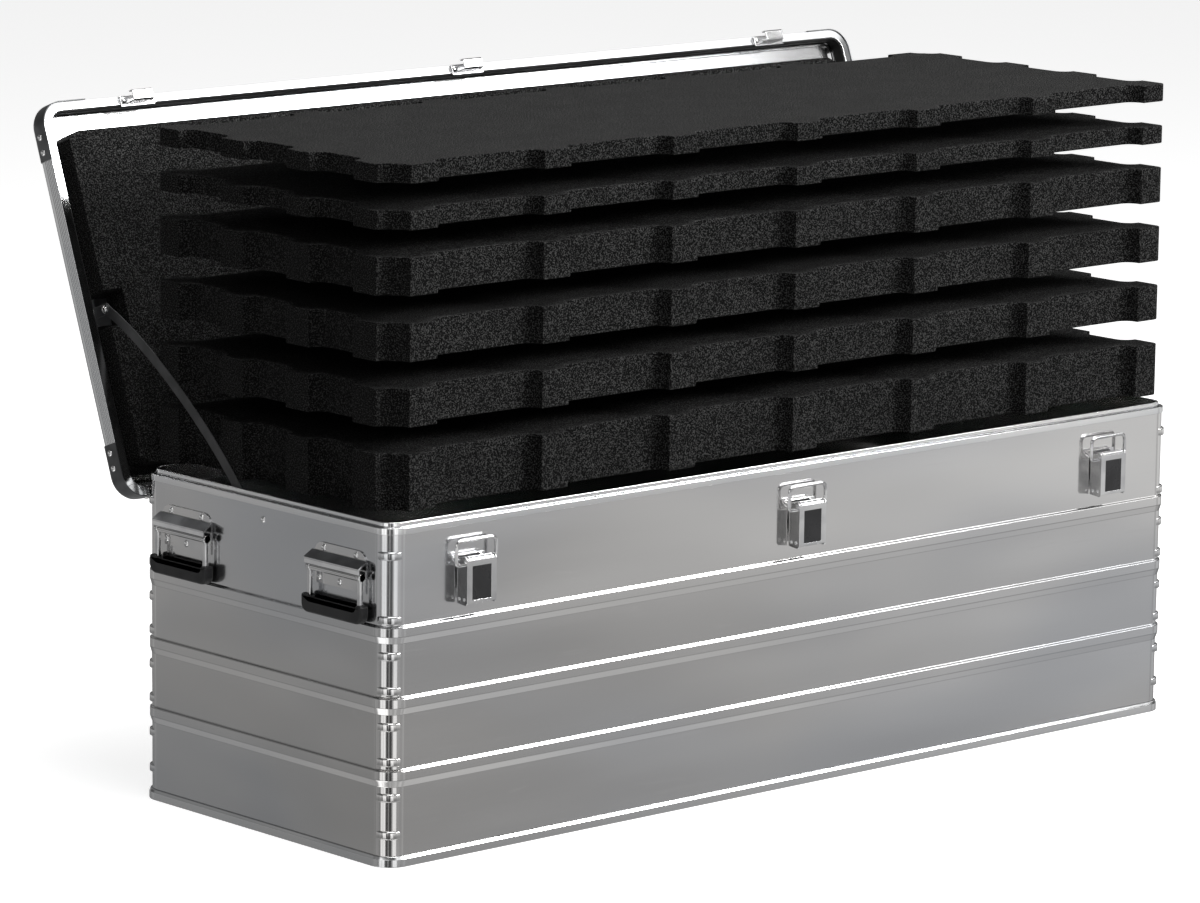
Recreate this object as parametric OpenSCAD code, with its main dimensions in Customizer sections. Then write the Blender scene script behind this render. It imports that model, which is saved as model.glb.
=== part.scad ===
// Long aluminium transport case with a hinged lid, three draw latches, four end handles
// and six lift-out layers of cut foam, shown lifted out above the open case.
// Origin: centre of the base on the floor. X runs along the case, -Y is the latch side.

/* [Case body] */
// Length over the walls
body_l = 1180; // [1000:10:1400]
// Width over the walls
body_w = 412; // [380:4:480]
// Height of the rim above the floor
body_h = 360; // [350:5:420]
// Outer corner radius of the walls
body_r = 22.5; // [20:0.5:28]
// Thickness of the wall sheet
wall_t = 1.5; // [1:0.1:2]
// Distances of the pressed bands below the rim
bead_drops = [265, 188, 112.5];
// Height of one pressed band
bead_h = 19; // [14:1:22]
// How far a pressed band stands out
bead_depth = 1.5; // [1:0.1:2]
// Height of a band's sloped flank
bead_flank = 4; // [2:0.5:6]
// Distances of the pressed rings at the corners below the rim
ring_drops = [326, 286, 248, 210.5, 172.5, 135.5, 97.5, 29.5];
// Height of one corner ring
ring_h = 9; // [6:0.5:10]
// Radius of a corner ring
ring_r = 15; // [14:0.25:15.25]
// How far a ring's centre lies outward of the corner's centre
ring_out = 10.5; // [10:0.1:11]

/* [Base and floor] */
// Height of the base frame
base_h = 11.5; // [9:0.5:14]
// How far the base frame stands out
base_proud = 3.4; // [2:0.2:5]
// Thickness of the base frame's inner flange
base_t = 2; // [1.5:0.5:3]
// Width of the base frame's inner flange
base_flange = 15; // [10:1:18]
// Thickness of the floor sheet
floor_t = 1.5; // [1:0.5:3]
// Gap round the floor sheet
floor_gap = 0.2; // [0.1:0.1:0.5]

/* [Rim frame] */
// Height of the rim's outer band
rim_band_h = 7; // [5:0.5:9]
// How far the outer band stands out
rim_proud = 1.2; // [0.8:0.2:1.6]
// Width of the top ridge inside the wall face
ridge_w = 3; // [2.5:0.25:3.5]
// Depth of the groove between ridge and lip
groove_d = 3; // [2:0.5:3.5]
// Distance from the wall face to the lip
lip_gap = 4.5; // [4:0.25:5]
// Thickness of the inner lip
lip_t = 3; // [2:0.5:3.5]
// Height of the lip above the ridge
lip_h = 5; // [3:0.5:7]
// Depth of the rim's box below the top
rim_box_h = 15; // [13:0.5:17]
// Depth of the rim's inner leg below the top
rim_leg_h = 27; // [25:0.5:28]
// Thickness of the inner leg
rim_leg_t = 2; // [1.5:0.25:2.5]
// Size of the small bevels on edges
edge = 0.6; // [0.4:0.1:0.8]
// Height of the rim rivets below the top
rim_rivet_drop = 21; // [19:0.5:22.5]

/* [Rivets] */
// Shank radius of every rivet
rivet_r = 1.6; // [1.2:0.1:2]
// Head radius of every rivet
rivet_head_r = 3.2; // [2.6:0.1:3.4]
// Head height of every rivet
rivet_head_h = 1.2; // [0.8:0.1:1.4]
// Radial gap between a rivet and its hole
rivet_gap = 0.05; // [0.02:0.01:0.1]

/* [Hinges] */
// Distance of the outer hinges from the body's ends
hinge_end = 160; // [140:10:290]
// Width of one hinge
hinge_w = 90; // [70:5:110]
// Number of knuckles in one hinge
knuckles = 5; // [3:2:7]
// Gap between two knuckles
knuckle_gap = 0.3; // [0.2:0.1:0.6]
// Radius of a knuckle
knuckle_r = 3; // [2.8:0.1:3.2]
// Radius of the hinge pin
hinge_pin_r = 1.5; // [1.2:0.1:1.8]
// Radial running gap round the hinge pin
hinge_gap = 0.05; // [0.03:0.01:0.1]
// Thickness of a hinge leaf
leaf_t = 1.5; // [1.2:0.1:1.6]
// Height of the body leaf below the hinge line
leaf_h = 26; // [22:1:34]
// Height of the leaf's rivets above its lower edge
leaf_rivet_up = 7; // [5:0.5:9]
// Distance of the hinge line from the rear wall
hinge_out = 3.3; // [3.25:0.05:3.6]
// Distance of the hinge line below the rim
hinge_drop = 15.7; // [15.5:0.1:16.5]

/* [Lid] */
// Angle of the open lid from closed
lid_open_deg = 110.5; // [95:0.5:112]
// How far the lid overhangs the body's ends
lid_over_l = 18; // [17.5:0.5:24]
// How far the lid overhangs the body's sides
lid_over_w = 13.8; // [13.8:0.2:18]
// Outer corner radius of the lid
lid_r = 26; // [24:1:30]
// Distance of the lid's rim below the body's rim when shut
lid_lap = 11; // [10:0.5:11]
// Height of the lid's side band
lid_side_h = 17.5; // [15:0.5:18]
// Radius of the lid's outer edge
lid_edge_r = 7.5; // [6:0.5:8.5]
// Width of the lid's rim
land_w = 10; // [9:0.5:10]
// Wall thickness of the lid frame
frame_t = 1.5; // [1:0.1:2]
// Width of the frame's flange over the panel
panel_lap = 5; // [4:0.5:8]
// Depth of the lid panel below the lid's rim
panel_d = 20; // [18:0.5:21]
// Thickness of the lid panel
panel_t = 2; // [1:0.5:2.5]
// Width of the ridge round the panel
panel_ridge_w = 3.5; // [3:0.5:5]
// Height of the ridge round the panel
panel_ridge_h = 3; // [2:0.5:4]
// Thickness of the rubber seal
seal_t = 2; // [1.5:0.25:2]
// Depth at which the seal starts
seal_top = 1.5; // [1:0.5:3]
// Depth at which the seal ends
seal_end = 16; // [14:0.5:17]

/* [Lid corner brackets] */
// Length of a bracket from the lid's corner
bracket_leg = 61.5; // [58:0.5:70]
// Thickness of a bracket
bracket_t = 1.2; // [0.8:0.1:1.6]
// Width of a bracket on the lid's top
bracket_top_w = 12; // [10:1:14]
// Distance of the first rivet from the corner
bracket_rivet_1 = 35; // [32:1:38]
// Distance of the second rivet from the corner
bracket_rivet_2 = 52; // [46:1:54]
// Depth of the rivets below the lid's rim
bracket_rivet_d = 12.5; // [9:0.5:13.5]

/* [Latches] */
// Distance of the outer latches from the body's ends
latch_end = 112; // [100:2:240]
// Width of the lever over its cheeks
lever_w = 40.6; // [38:0.2:44]
// Distance of the lever's face from the wall
lever_d = 18; // [17.5:0.5:20]
// Thickness of the lever's cheeks
cheek_t = 1.2; // [1:0.1:1.4]
// Thickness of the lever's face
face_t = 1.6; // [1.4:0.1:1.8]
// Distance of the lever's pivot from the wall
lever_pivot_out = 13.6; // [13.2:0.2:13.8]
// Distance of the lever's pivot below the rim
lever_pivot_drop = 41.5; // [40:0.5:43]
// Length of the lever below its pivot
lever_len = 48.5; // [46:0.5:52]
// Radius of the rolled bar at the lever's top
roll_r = 3.6; // [3.2:0.1:3.6]
// Radius of the lever's pin
lever_pin_r = 1.2; // [1:0.1:1.4]
// Gap between lever, ears and pins
latch_gap = 0.3; // [0.2:0.05:0.4]
// Radial running gap round the latch pins
latch_run = 0.05; // [0.03:0.01:0.1]
// Thickness of the base's ears
ear_t = 1.4; // [1:0.1:1.6]
// Radius of an ear round the pin
ear_r = 2.3; // [2.1:0.1:2.4]
// Drop of an ear's upper edge at the wall below the pivot
ear_top_drop = 2; // [1:0.5:3]
// Drop of an ear's lower edge at the wall below the pivot
ear_foot_drop = 18; // [14:1:22]
// Distance between the faces of lever cheek and ear
ear_gap = 0.7; // [0.5:0.1:0.9]
// Thickness of the base plate
latch_plate_t = 1.2; // [1:0.1:1.5]
// Distance of the base's rivets from its middle
latch_rivet_x = 10; // [7:0.5:12]
// Drops of the base's rivets below the lever's pivot
latch_rivet_drops = [40, 15];
// Width of the bare label plate
label_w = 26; // [20:1:30]
// Height of the bare label plate
label_h = 36; // [30:1:38]
// Distance of the label below the lever's pivot
label_drop = 6.5; // [6:0.5:8]
// Thickness of the label plate
label_t = 0.6; // [0.4:0.1:0.8]
// Depth of the pocket for the label plate
label_pocket = 0.9; // [0.9:0.05:1.1]
// Radius of the two holes in a cheek
cheek_hole_r = 1.8; // [1.4:0.1:2.2]
// Radius of the bail's wire
wire_r = 1.75; // [1.5:0.05:1.8]
// Width of the bail over its wire
bail_w = 58; // [54:1:66]
// Height of the bail from its pivot to its top bar
bail_h = 25.75; // [25.75:0.25:27]
// Bend radius of the bail's top corners
bail_bend = 5; // [4:0.5:8]
// Bend radius at the bail's feet
foot_bend = 3; // [2.5:0.5:4]
// Distance of the bail's pivot from the wall
bail_out = 8.5; // [8:0.1:9]
// Distance of the bail's pivot below the lever's pivot
bail_drop = 6; // [5.5:0.25:6.5]

/* [Keepers] */
// Width of a keeper's plate
keeper_w = 46; // [42:1:52]
// Width of a keeper's hook
hook_w = 29; // [24:1:32]
// Thickness of the keeper's sheet
keeper_t = 1.5; // [1.2:0.1:1.6]
// Distance of the keeper from the body's wall when shut
keeper_gap = 1.8; // [1.6:0.1:2]
// How far the hook's lip stands out past the lid
hook_out = 3.7; // [3:0.1:5]
// Height of the hook's lip
hook_lip_h = 7; // [6:0.5:8]
// Gap between the hook and the shut bail's wire
hook_gap = 0.2; // [0.1:0.1:0.4]

/* [Handles] */
// Distance of a handle's middle from the body's long side
handle_side = 77; // [71:1:96]
// Width of the handle's plate
hplate_w = 83; // [76:1:90]
// Corner radius of the plate
hplate_r = 12; // [8:1:14]
// Thickness of the plate
hplate_t = 1.5; // [1.2:0.1:2]
// Distance of the plate's top below the rim
hplate_drop = 29; // [28:0.5:31]
// Height of the plate
hplate_h = 44; // [42:1:50]
// Distance between the two upper rivets
upper_rivets = 52.5; // [46:0.5:56]
// Distance between two lower rivets
lower_rivets = 33.8; // [30:0.2:34]
// Drop of the upper rivets below the plate's top
upper_rivet_drop = 5.3; // [5:0.1:5.6]
// Drop of the lower rivets below the plate's top
lower_rivet_drop = 37.8; // [37:0.2:39]
// Width of the hood over the pivot
hood_w = 89; // [86:1:96]
// Thickness of the hood's sheet
hood_t = 1.3; // [1:0.1:1.5]
// How far the hood stands out
hood_out = 13.5; // [12.5:0.5:15]
// Drop of the hood's front edge below the plate's top
hood_front_drop = 16; // [15.5:0.5:17]
// Drop of the hood's rear edge below the plate's top
hood_back_drop = 9.2; // [9:0.2:9.8]
// Height of the hood's front flange
hood_flange = 6.7; // [5:0.1:7]
// Distance of the handle's pivot from the wall
hinge_rod_out = 8; // [7.5:0.25:8.5]
// Drop of the handle's pivot below the plate's top
hinge_rod_drop = 26; // [25.5:0.25:27]
// Radius of the handle's hinge rod
hinge_rod_r = 2.5; // [2:0.1:2.8]
// Outer radius of the barrel round the rod
barrel_r = 4; // [3.6:0.1:4.2]
// Outer radius of the eye on a leg
eye_r = 4.2; // [3.8:0.1:4.4]
// Radial running gap round the rod
rod_run = 0.05; // [0.03:0.01:0.1]
// Side gap between a leg and the barrel
leg_gap = 0.3; // [0.2:0.1:0.6]
// Width of the loop over its legs
loop_w = 88; // [80:1:92]
// Width of one leg
leg_w = 6; // [5:0.5:7]
// Thickness of one leg
leg_t = 5; // [4:0.25:5]
// Drop of the crossbar's middle below the pivot
crossbar_drop = 40; // [38:0.5:44]
// Height of the crossbar
crossbar_h = 6; // [5:0.5:8]
// Width of the grip
grip_w = 98; // [96:1:104]
// Height of the grip
grip_h = 20; // [18:0.5:22]
// Thickness of the grip
grip_t = 12.4; // [11:0.2:12.6]
// Radius of the grip's lower corners
grip_r = 10; // [7:0.5:11]
// Drop of the grip's middle below the pivot
grip_drop = 39; // [38:0.5:43]

/* [Lid foam] */
// Gap between the lid foam and the ends of the lid
lid_foam_end = 26; // [26:0.5:34]
// Gap between the lid foam and the sides of the lid
lid_foam_side = 34; // [30:1:40]
// How far the lid foam stands proud of the lid's rim
lid_foam_proud = 3; // [1:0.5:4]
// Length of the cut-off corners along the lid
lid_foam_cut_l = 15; // [8:1:20]
// Width of the cut-off corners across the lid
lid_foam_cut_w = 8; // [5:1:12]
// Length of the foam's notch for a stay
notch_l = 40; // [34:1:50]
// Depth of the foam's notch for a stay
notch_d = 26; // [24:1:34]

/* [Lid stays] */
// Width of a stay's strap
strap_w = 12; // [8:0.5:14]
// Thickness of a stay's strap
strap_t = 1.2; // [1:0.1:1.2]
// Radius of a strap's round ends
strap_eye_r = 7; // [6.5:0.5:8]
// Gap between a strap and the foam layers
strap_gap = 0.3; // [0.2:0.1:0.4]
// Radius of a stay's pivot
stay_pin_r = 2; // [1.5:0.1:2.5]
// Distance of the stay's pivot from the middle of the lid
stay_pivot_y = 12.7; // [5:0.5:20]
// Depth of the stay's pivot below the lid's rim
stay_pivot_d = 1.6; // [0:0.2:4]
// Distance of the stay's lower end from the middle of the case
stay_anchor_y = 46; // [35:1:60]
// Depth of the stay's lower end below the body's rim
stay_anchor_drop = 10; // [7:0.5:12]
// Thickness of a stay's bracket
stay_t = 1.2; // [1:0.1:1.2]
// Length of a stay's bracket
stay_foot_l = 30; // [26:1:32]
// Width of a stay bracket's foot
stay_foot_w = 18; // [12:1:22]

/* [Foam layers] */
// Gap between a layer and the rim's lip at both ends
foam_end_gap = 3.5; // [3:0.1:10]
// Gap between a layer and the rim's lip at both sides
foam_side_gap = 2.5; // [2:0.1:10]
// Thickness of each layer from the top one down
foam_t = [20, 20, 40, 40, 40, 60];
// Height of the lowest lifted layer above the body's rim
foam_lift = 13; // [6:1:40]
// Gap between two lifted layers
foam_gap = 28.4; // [20:0.2:40]
// Width of the teeth along a layer's edge
tooth_w = 38; // [28:1:44]
// Depth of the recesses between the teeth
recess_d = 17; // [12:1:20]
// Radius in the recesses' inner corners
recess_r = 14; // [8:1:14]
// Distance between two teeth along the layer
pitch_l = 182.65; // [150:0.5:190]
// Distance between two teeth across the layer
pitch_w = 109.5; // [100:0.5:114]
// Number of teeth along the layer
teeth_l = 7; // [3:1:7]
// Number of teeth across the layer
teeth_w = 4; // [2:1:4]
// Radius of a layer's outer corners
foam_corner_r = 9; // [5:0.5:12]

/* [Hidden] */
$fn = 64;
eps = 0.01;
wall_low = floor_t + base_t;
lid_rim_z = body_h - lid_lap;
bead_heights = [for (d = bead_drops) if (body_h - d - bead_h / 2 > base_h) body_h - d];
ring_heights = [for (d = ring_drops) if (body_h - d - ring_h / 2 > base_h) body_h - d];
hinge_spread = body_l / 2 - hinge_end;
latch_spread = body_l / 2 - latch_end;
handle_spread = body_w / 2 - handle_side;
foam_l = body_l - 2 * (lip_gap + lip_t + foam_end_gap);
foam_w = body_w - 2 * (lip_gap + lip_t + foam_side_gap);
lid_l = body_l + 2 * lid_over_l;
lid_w = body_w + 2 * lid_over_w;
lid_side_y = lid_w / 2;
lid_top_d = lid_side_h + lid_edge_r;
hinge_y = body_w / 2 + hinge_out;
hinge_z = body_h - hinge_drop;
hinge_xs = [-hinge_spread, 0, hinge_spread];
knuckle_len = hinge_w / knuckles;
latch_xs = [-latch_spread, 0, latch_spread];
lever_pivot_z = body_h - lever_pivot_drop;
bail_pivot_z = lever_pivot_z - bail_drop;
ear_out = lever_w / 2 - cheek_t - ear_gap;
bail_leg_x = bail_w / 2 - wire_r;
hplate_top = body_h - hplate_drop;
rod_z = hplate_top - hinge_rod_drop;
lip_face = body_l / 2 - lip_gap - lip_t;
strap_in = foam_l / 2 + strap_gap;
strap_out = strap_in + strap_t;
stay_in = strap_out + strap_gap;
stay_anchor_z = body_h - stay_anchor_drop;
foam_bottoms = [for (i = [0:5]) body_h + foam_lift + sum_below(i) + (5 - i) * foam_gap];
first_tooth = foam_l / 2 - tooth_w;
first_tooth_w = foam_w / 2 - tooth_w;

// Thickness of the foam layers that lie under layer i
function sum_below(i) = i >= 5 ? 0 : foam_t[i + 1] + sum_below(i + 1);

// Points of an arc round a centre, from one angle to another
function arc(cx, cy, r, a0, a1, n = 5) =
    [for (i = [0:n]) [cx + r * cos(a0 + (a1 - a0) * i / n), cy + r * sin(a0 + (a1 - a0) * i / n)]];

// One side of a wall with its pressed bands, seen in section
function wall_side(x) = concat(
    [[x, wall_low]],
    [for (z = bead_heights) each [
        [x, z - bead_h / 2],
        [x + bead_depth, z - bead_h / 2 + bead_flank],
        [x + bead_depth, z + bead_h / 2 - bead_flank],
        [x, z + bead_h / 2]]],
    [[x, body_h - groove_d - 1]]);

function backwards(list) = [for (i = [len(list) - 1:-1:0]) list[i]];

// Sweeps a section round a rounded rectangle: x is outward from its edge, y is height
module around(l, w, r) {
    for (k = [0:3]) {
        long = k % 2 == 0;
        rotate([0, 0, 90 * k])
            translate([0, -(long ? w : l) / 2, 0])
                rotate([90, 0, -90])
                    linear_extrude((long ? l : w) - 2 * r, center = true)
                        children();
    }
    for (c = [[1, 1, 0], [-1, 1, 90], [-1, -1, 180], [1, -1, 270]])
        translate([c[0] * (l / 2 - r), c[1] * (w / 2 - r), 0])
            rotate([0, 0, c[2]])
                rotate_extrude(angle = 90)
                    translate([r, 0])
                        children();
}

module round_rect(l, w, r) {
    square([l - 2 * r, w], center = true);
    square([l, w - 2 * r], center = true);
    for (sx = [-1, 1], sy = [-1, 1])
        translate([sx * (l / 2 - r), sy * (w / 2 - r)])
            circle(r);
}

// A rivet along +Z through sheets from -grip to 0, with its head above and its tail below
module rivet(grip) {
    cylinder(h = rivet_head_h, r1 = rivet_head_r, r2 = rivet_head_r * 0.6);
    translate([0, 0, -grip - rivet_head_h])
        cylinder(h = rivet_head_h, r = rivet_head_r * 0.8);
    translate([0, 0, -grip])
        cylinder(h = grip, r = rivet_r);
}

module rivet_hole(grip) {
    translate([0, 0, -grip - 1])
        cylinder(h = grip + 2, r = rivet_r + rivet_gap);
}

// Turns +Z to face outward from the front, the rear or an end wall
module facing_front() {
    rotate([90, 0, 0])
        children();
}

module facing_rear() {
    rotate([-90, 0, 0])
        children();
}

// Places a piece, drawn shut, as part of the open lid
module on_open_lid() {
    translate([0, hinge_y, hinge_z])
        rotate([-lid_open_deg, 0, 0])
            translate([0, -hinge_y, -hinge_z])
                children();
}

// Places a piece on an end wall: +X leads outward and the wall's face is at x = 0
module on_end(side, y) {
    translate([side * body_l / 2, y, 0])
        rotate([0, 0, side > 0 ? 0 : 180])
            children();
}

// Stands a section in the plane across the case, pushed out along X both ways
module across(width) {
    rotate([90, 0, 90])
        linear_extrude(width, center = true)
            children();
}

// Places a section, drawn with x outward and y up, on the front wall at a given x
module on_front(x) {
    translate([x, -body_w / 2, 0])
        mirror([0, 1, 0])
            children();
}

// Places of all rivets that pass through the body's walls
module at_handle_rivets() {
    for (side = [-1, 1], y = [-handle_spread, handle_spread])
        on_end(side, y) {
            for (t = [-upper_rivets / 2, upper_rivets / 2])
                translate([hplate_t, t, hplate_top - upper_rivet_drop])
                    rotate([0, 90, 0])
                        children();
            for (t = [-lower_rivets, 0, lower_rivets])
                translate([hplate_t, t, hplate_top - lower_rivet_drop])
                    rotate([0, 90, 0])
                        children();
        }
}

module at_latch_rivets() {
    for (x = latch_xs, dx = [-latch_rivet_x, latch_rivet_x], drop = latch_rivet_drops)
        translate([x + dx, -body_w / 2 - latch_plate_t, lever_pivot_z - drop])
            facing_front()
                children();
}

module at_rim_rivets() {
    for (side = [-1, 1])
        on_end(side, 0)
            translate([0, 0, body_h - rim_rivet_drop])
                rotate([0, 90, 0])
                    children();
}

module at_hinge_body_rivets() {
    for (x = hinge_xs, dx = [-hinge_w / 3, 0, hinge_w / 3])
        translate([x + dx, body_w / 2 + leaf_t, hinge_z - leaf_h + leaf_rivet_up])
            facing_rear()
                children();
}

// A ring pressed outward at a body corner, with bevelled edges
module corner_ring() {
    bevel = ring_h / 4;
    rotate_extrude()
        polygon([[0, -ring_h / 2], [ring_r - bevel, -ring_h / 2], [ring_r, -ring_h / 2 + bevel],
            [ring_r, ring_h / 2 - bevel], [ring_r - bevel, ring_h / 2], [0, ring_h / 2]]);
}

module corner_rings() {
    shift = ring_out * sin(45);
    difference() {
        for (sx = [-1, 1], sy = [-1, 1], z = ring_heights)
            translate([sx * (body_l / 2 - body_r + shift), sy * (body_w / 2 - body_r + shift), z])
                corner_ring();
        linear_extrude(body_h)
            round_rect(body_l - wall_t, body_w - wall_t, body_r - wall_t / 2);
    }
}

module body_shell() {
    color("#a6abb0")
        difference() {
            union() {
                around(body_l, body_w, body_r)
                    polygon(concat(wall_side(0), backwards(wall_side(-wall_t))));
                corner_rings();
            }
            at_handle_rivets()
                rivet_hole(hplate_t + wall_t);
            at_latch_rivets()
                rivet_hole(latch_plate_t + wall_t);
            at_rim_rivets()
                rivet_hole(wall_t + rim_leg_t);
            at_hinge_body_rivets()
                rivet_hole(leaf_t + wall_t);
        }
}

module floor_panel() {
    color("#6e7276")
        linear_extrude(floor_t)
            round_rect(body_l - 2 * floor_gap, body_w - 2 * floor_gap, body_r - floor_gap);
}

module base_frame() {
    color("#b8bcc0")
        around(body_l, body_w, body_r)
            polygon([[-base_flange, floor_t], [0, floor_t], [0, 0], [base_proud, 0],
                [base_proud, base_h - edge], [base_proud - edge, base_h], [0, base_h],
                [0, wall_low], [-base_flange, wall_low]]);
}

module rim_frame() {
    seat = body_h - groove_d - 1;
    lip_out = -lip_gap;
    lip_in = -lip_gap - lip_t;
    lip_top = body_h + lip_h;
    color("#c8ccd0")
        difference() {
            around(body_l, body_w, body_r)
                polygon([
                    [0, body_h - rim_band_h], [rim_proud, body_h - rim_band_h],
                    [rim_proud, body_h - edge], [rim_proud - edge, body_h],
                    [-ridge_w, body_h], [-ridge_w, body_h - groove_d],
                    [lip_out, body_h - groove_d], [lip_out, lip_top - edge],
                    [lip_out - edge, lip_top], [lip_in + edge, lip_top],
                    [lip_in, lip_top - edge], [lip_in, body_h - rim_box_h],
                    [-wall_t - rim_leg_t, body_h - rim_box_h - 2],
                    [-wall_t - rim_leg_t, body_h - rim_leg_h],
                    [-wall_t, body_h - rim_leg_h], [-wall_t, seat], [0, seat]]);
            at_rim_rivets()
                rivet_hole(wall_t + rim_leg_t);
        }
}

module rim_rivets() {
    color("#d8dadc")
        at_rim_rivets()
            rivet(wall_t + rim_leg_t);
}

// Knuckles of one hinge: the body holds the even ones, the lid the odd ones
module hinge_knuckles(first) {
    for (k = [first:2:knuckles - 1])
        translate([-hinge_w / 2 + k * knuckle_len + knuckle_gap / 2, 0, 0])
            rotate([0, 90, 0])
                cylinder(h = knuckle_len - knuckle_gap, r = knuckle_r);
}

module hinge_bore() {
    rotate([0, 90, 0])
        cylinder(h = hinge_w + 2, r = hinge_pin_r + hinge_gap, center = true);
}

module hinge_body_leaves() {
    color("#8e9398")
        difference() {
            for (x = hinge_xs)
                translate([x, hinge_y, hinge_z])
                    difference() {
                        union() {
                            hinge_knuckles(0);
                            translate([-hinge_w / 2, -hinge_out, -leaf_h])
                                cube([hinge_w, leaf_t, leaf_h - knuckle_r - 0.5]);
                            for (k = [0:2:knuckles - 1])
                                translate([-hinge_w / 2 + k * knuckle_len + knuckle_gap / 2,
                                    -hinge_out, -leaf_h])
                                    cube([knuckle_len - knuckle_gap, leaf_t, leaf_h]);
                        }
                        hinge_bore();
                    }
            at_hinge_body_rivets()
                rivet_hole(leaf_t + wall_t);
        }
}

module hinge_pins() {
    color("#dfe1e3")
        for (x = hinge_xs)
            translate([x, hinge_y, hinge_z])
                rotate([0, 90, 0])
                    cylinder(h = hinge_w, r = hinge_pin_r, center = true);
}

module hinge_body_rivets() {
    color("#d8dadc")
        at_hinge_body_rivets()
            rivet(leaf_t + wall_t);
}

module at_hinge_lid_rivets() {
    for (x = hinge_xs, dx = [-hinge_w / 3, 0, hinge_w / 3])
        translate([x + dx, lid_side_y - land_w / 2, lid_rim_z - leaf_t])
            rotate([180, 0, 0])
                children();
}

module hinge_lid_leaves() {
    leaf_y = hinge_y + 2.2;
    color("#8e9398")
        on_open_lid()
            difference() {
                for (x = hinge_xs)
                    translate([x, 0, 0])
                        difference() {
                            union() {
                                translate([0, hinge_y, hinge_z])
                                    hinge_knuckles(1);
                                translate([-hinge_w / 2, leaf_y, lid_rim_z - leaf_t])
                                    cube([hinge_w, lid_side_y - leaf_y - 0.5, leaf_t]);
                                for (k = [1:2:knuckles - 1])
                                    translate([-hinge_w / 2 + k * knuckle_len + knuckle_gap / 2,
                                        hinge_y, hinge_z])
                                        cube([knuckle_len - knuckle_gap, 3, lid_rim_z - hinge_z]);
                            }
                            translate([0, hinge_y, hinge_z])
                                hinge_bore();
                        }
                at_hinge_lid_rivets()
                    rivet_hole(leaf_t + frame_t);
            }
}

module hinge_lid_rivets() {
    color("#d8dadc")
        on_open_lid()
            at_hinge_lid_rivets()
                rivet(leaf_t + frame_t);
}

module latch_base(x) {
    color("#b0b4b8")
        difference() {
            on_front(x) {
                translate([-ear_out, 0, lever_pivot_z - lever_len + 1])
                    cube([2 * ear_out, latch_plate_t, lever_len + 3]);
                for (s = [-1, 1])
                    translate([s * (ear_out - ear_t / 2), 0, 0])
                        across(ear_t)
                            difference() {
                                union() {
                                    polygon([[0, lever_pivot_z - ear_foot_drop],
                                        [0, lever_pivot_z - ear_top_drop],
                                        [lever_pivot_out, lever_pivot_z + ear_r],
                                        [lever_pivot_out, lever_pivot_z - ear_r]]);
                                    translate([lever_pivot_out, lever_pivot_z])
                                        circle(ear_r);
                                }
                                translate([lever_pivot_out, lever_pivot_z])
                                    circle(lever_pin_r);
                            }
            }
            at_latch_rivets()
                rivet_hole(latch_plate_t + wall_t);
        }
}

module latch_pins() {
    color("#dfe1e3")
        for (x = latch_xs)
            on_front(x)
                translate([0, lever_pivot_out, lever_pivot_z])
                    rotate([0, 90, 0])
                        cylinder(h = lever_w, r = lever_pin_r, center = true);
}

module latch_rivets() {
    color("#d8dadc")
        at_latch_rivets()
            rivet(latch_plate_t + wall_t);
}

// Outline of a lever's cheek: x is outward from the wall, y is height
module cheek() {
    low = lever_pivot_z - lever_len;
    difference() {
        union() {
            polygon([[2.2, low + 1.5], [lever_d - 2.5, low], [lever_d, low + 2.5],
                [lever_d, lever_pivot_z], [lever_pivot_out, lever_pivot_z + roll_r],
                [bail_out, lever_pivot_z - 1], [2.2, lever_pivot_z - 4.5]]);
            translate([lever_pivot_out, lever_pivot_z])
                circle(roll_r);
        }
        translate([lever_pivot_out, lever_pivot_z])
            circle(lever_pin_r + latch_run);
        translate([bail_out, bail_pivot_z])
            circle(wire_r + latch_run);
        for (u = [5.5, 13])
            translate([u, low + 6.5])
                circle(cheek_hole_r);
    }
}

module latch_lever(x) {
    roll_len = 2 * (ear_out - ear_t - latch_gap);
    label_z = lever_pivot_z - label_drop - label_h;
    color("#b8bcc0")
        on_front(x) {
            for (s = [-1, 1])
                translate([s * (lever_w - cheek_t) / 2, 0, 0])
                    across(cheek_t)
                        cheek();
            difference() {
                union() {
                    translate([-lever_w / 2, lever_d - face_t, lever_pivot_z - lever_len + 2.5])
                        cube([lever_w, face_t, lever_len - 2.5]);
                    translate([0, lever_pivot_out, lever_pivot_z])
                        rotate([0, 90, 0])
                            cylinder(h = roll_len, r = roll_r, center = true);
                }
                translate([0, lever_pivot_out, lever_pivot_z])
                    rotate([0, 90, 0])
                        cylinder(h = lever_w, r = lever_pin_r + latch_run, center = true);
                translate([-label_w / 2, lever_d - label_pocket, label_z])
                    cube([label_w, label_pocket + 1, label_h]);
            }
        }
}

module latch_label(x) {
    color("#101112")
        on_front(x)
            translate([-label_w / 2 + 0.1, lever_d - label_pocket,
                lever_pivot_z - label_drop - label_h + 0.1])
                cube([label_w - 0.2, label_t, label_h - 0.2]);
}

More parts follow.
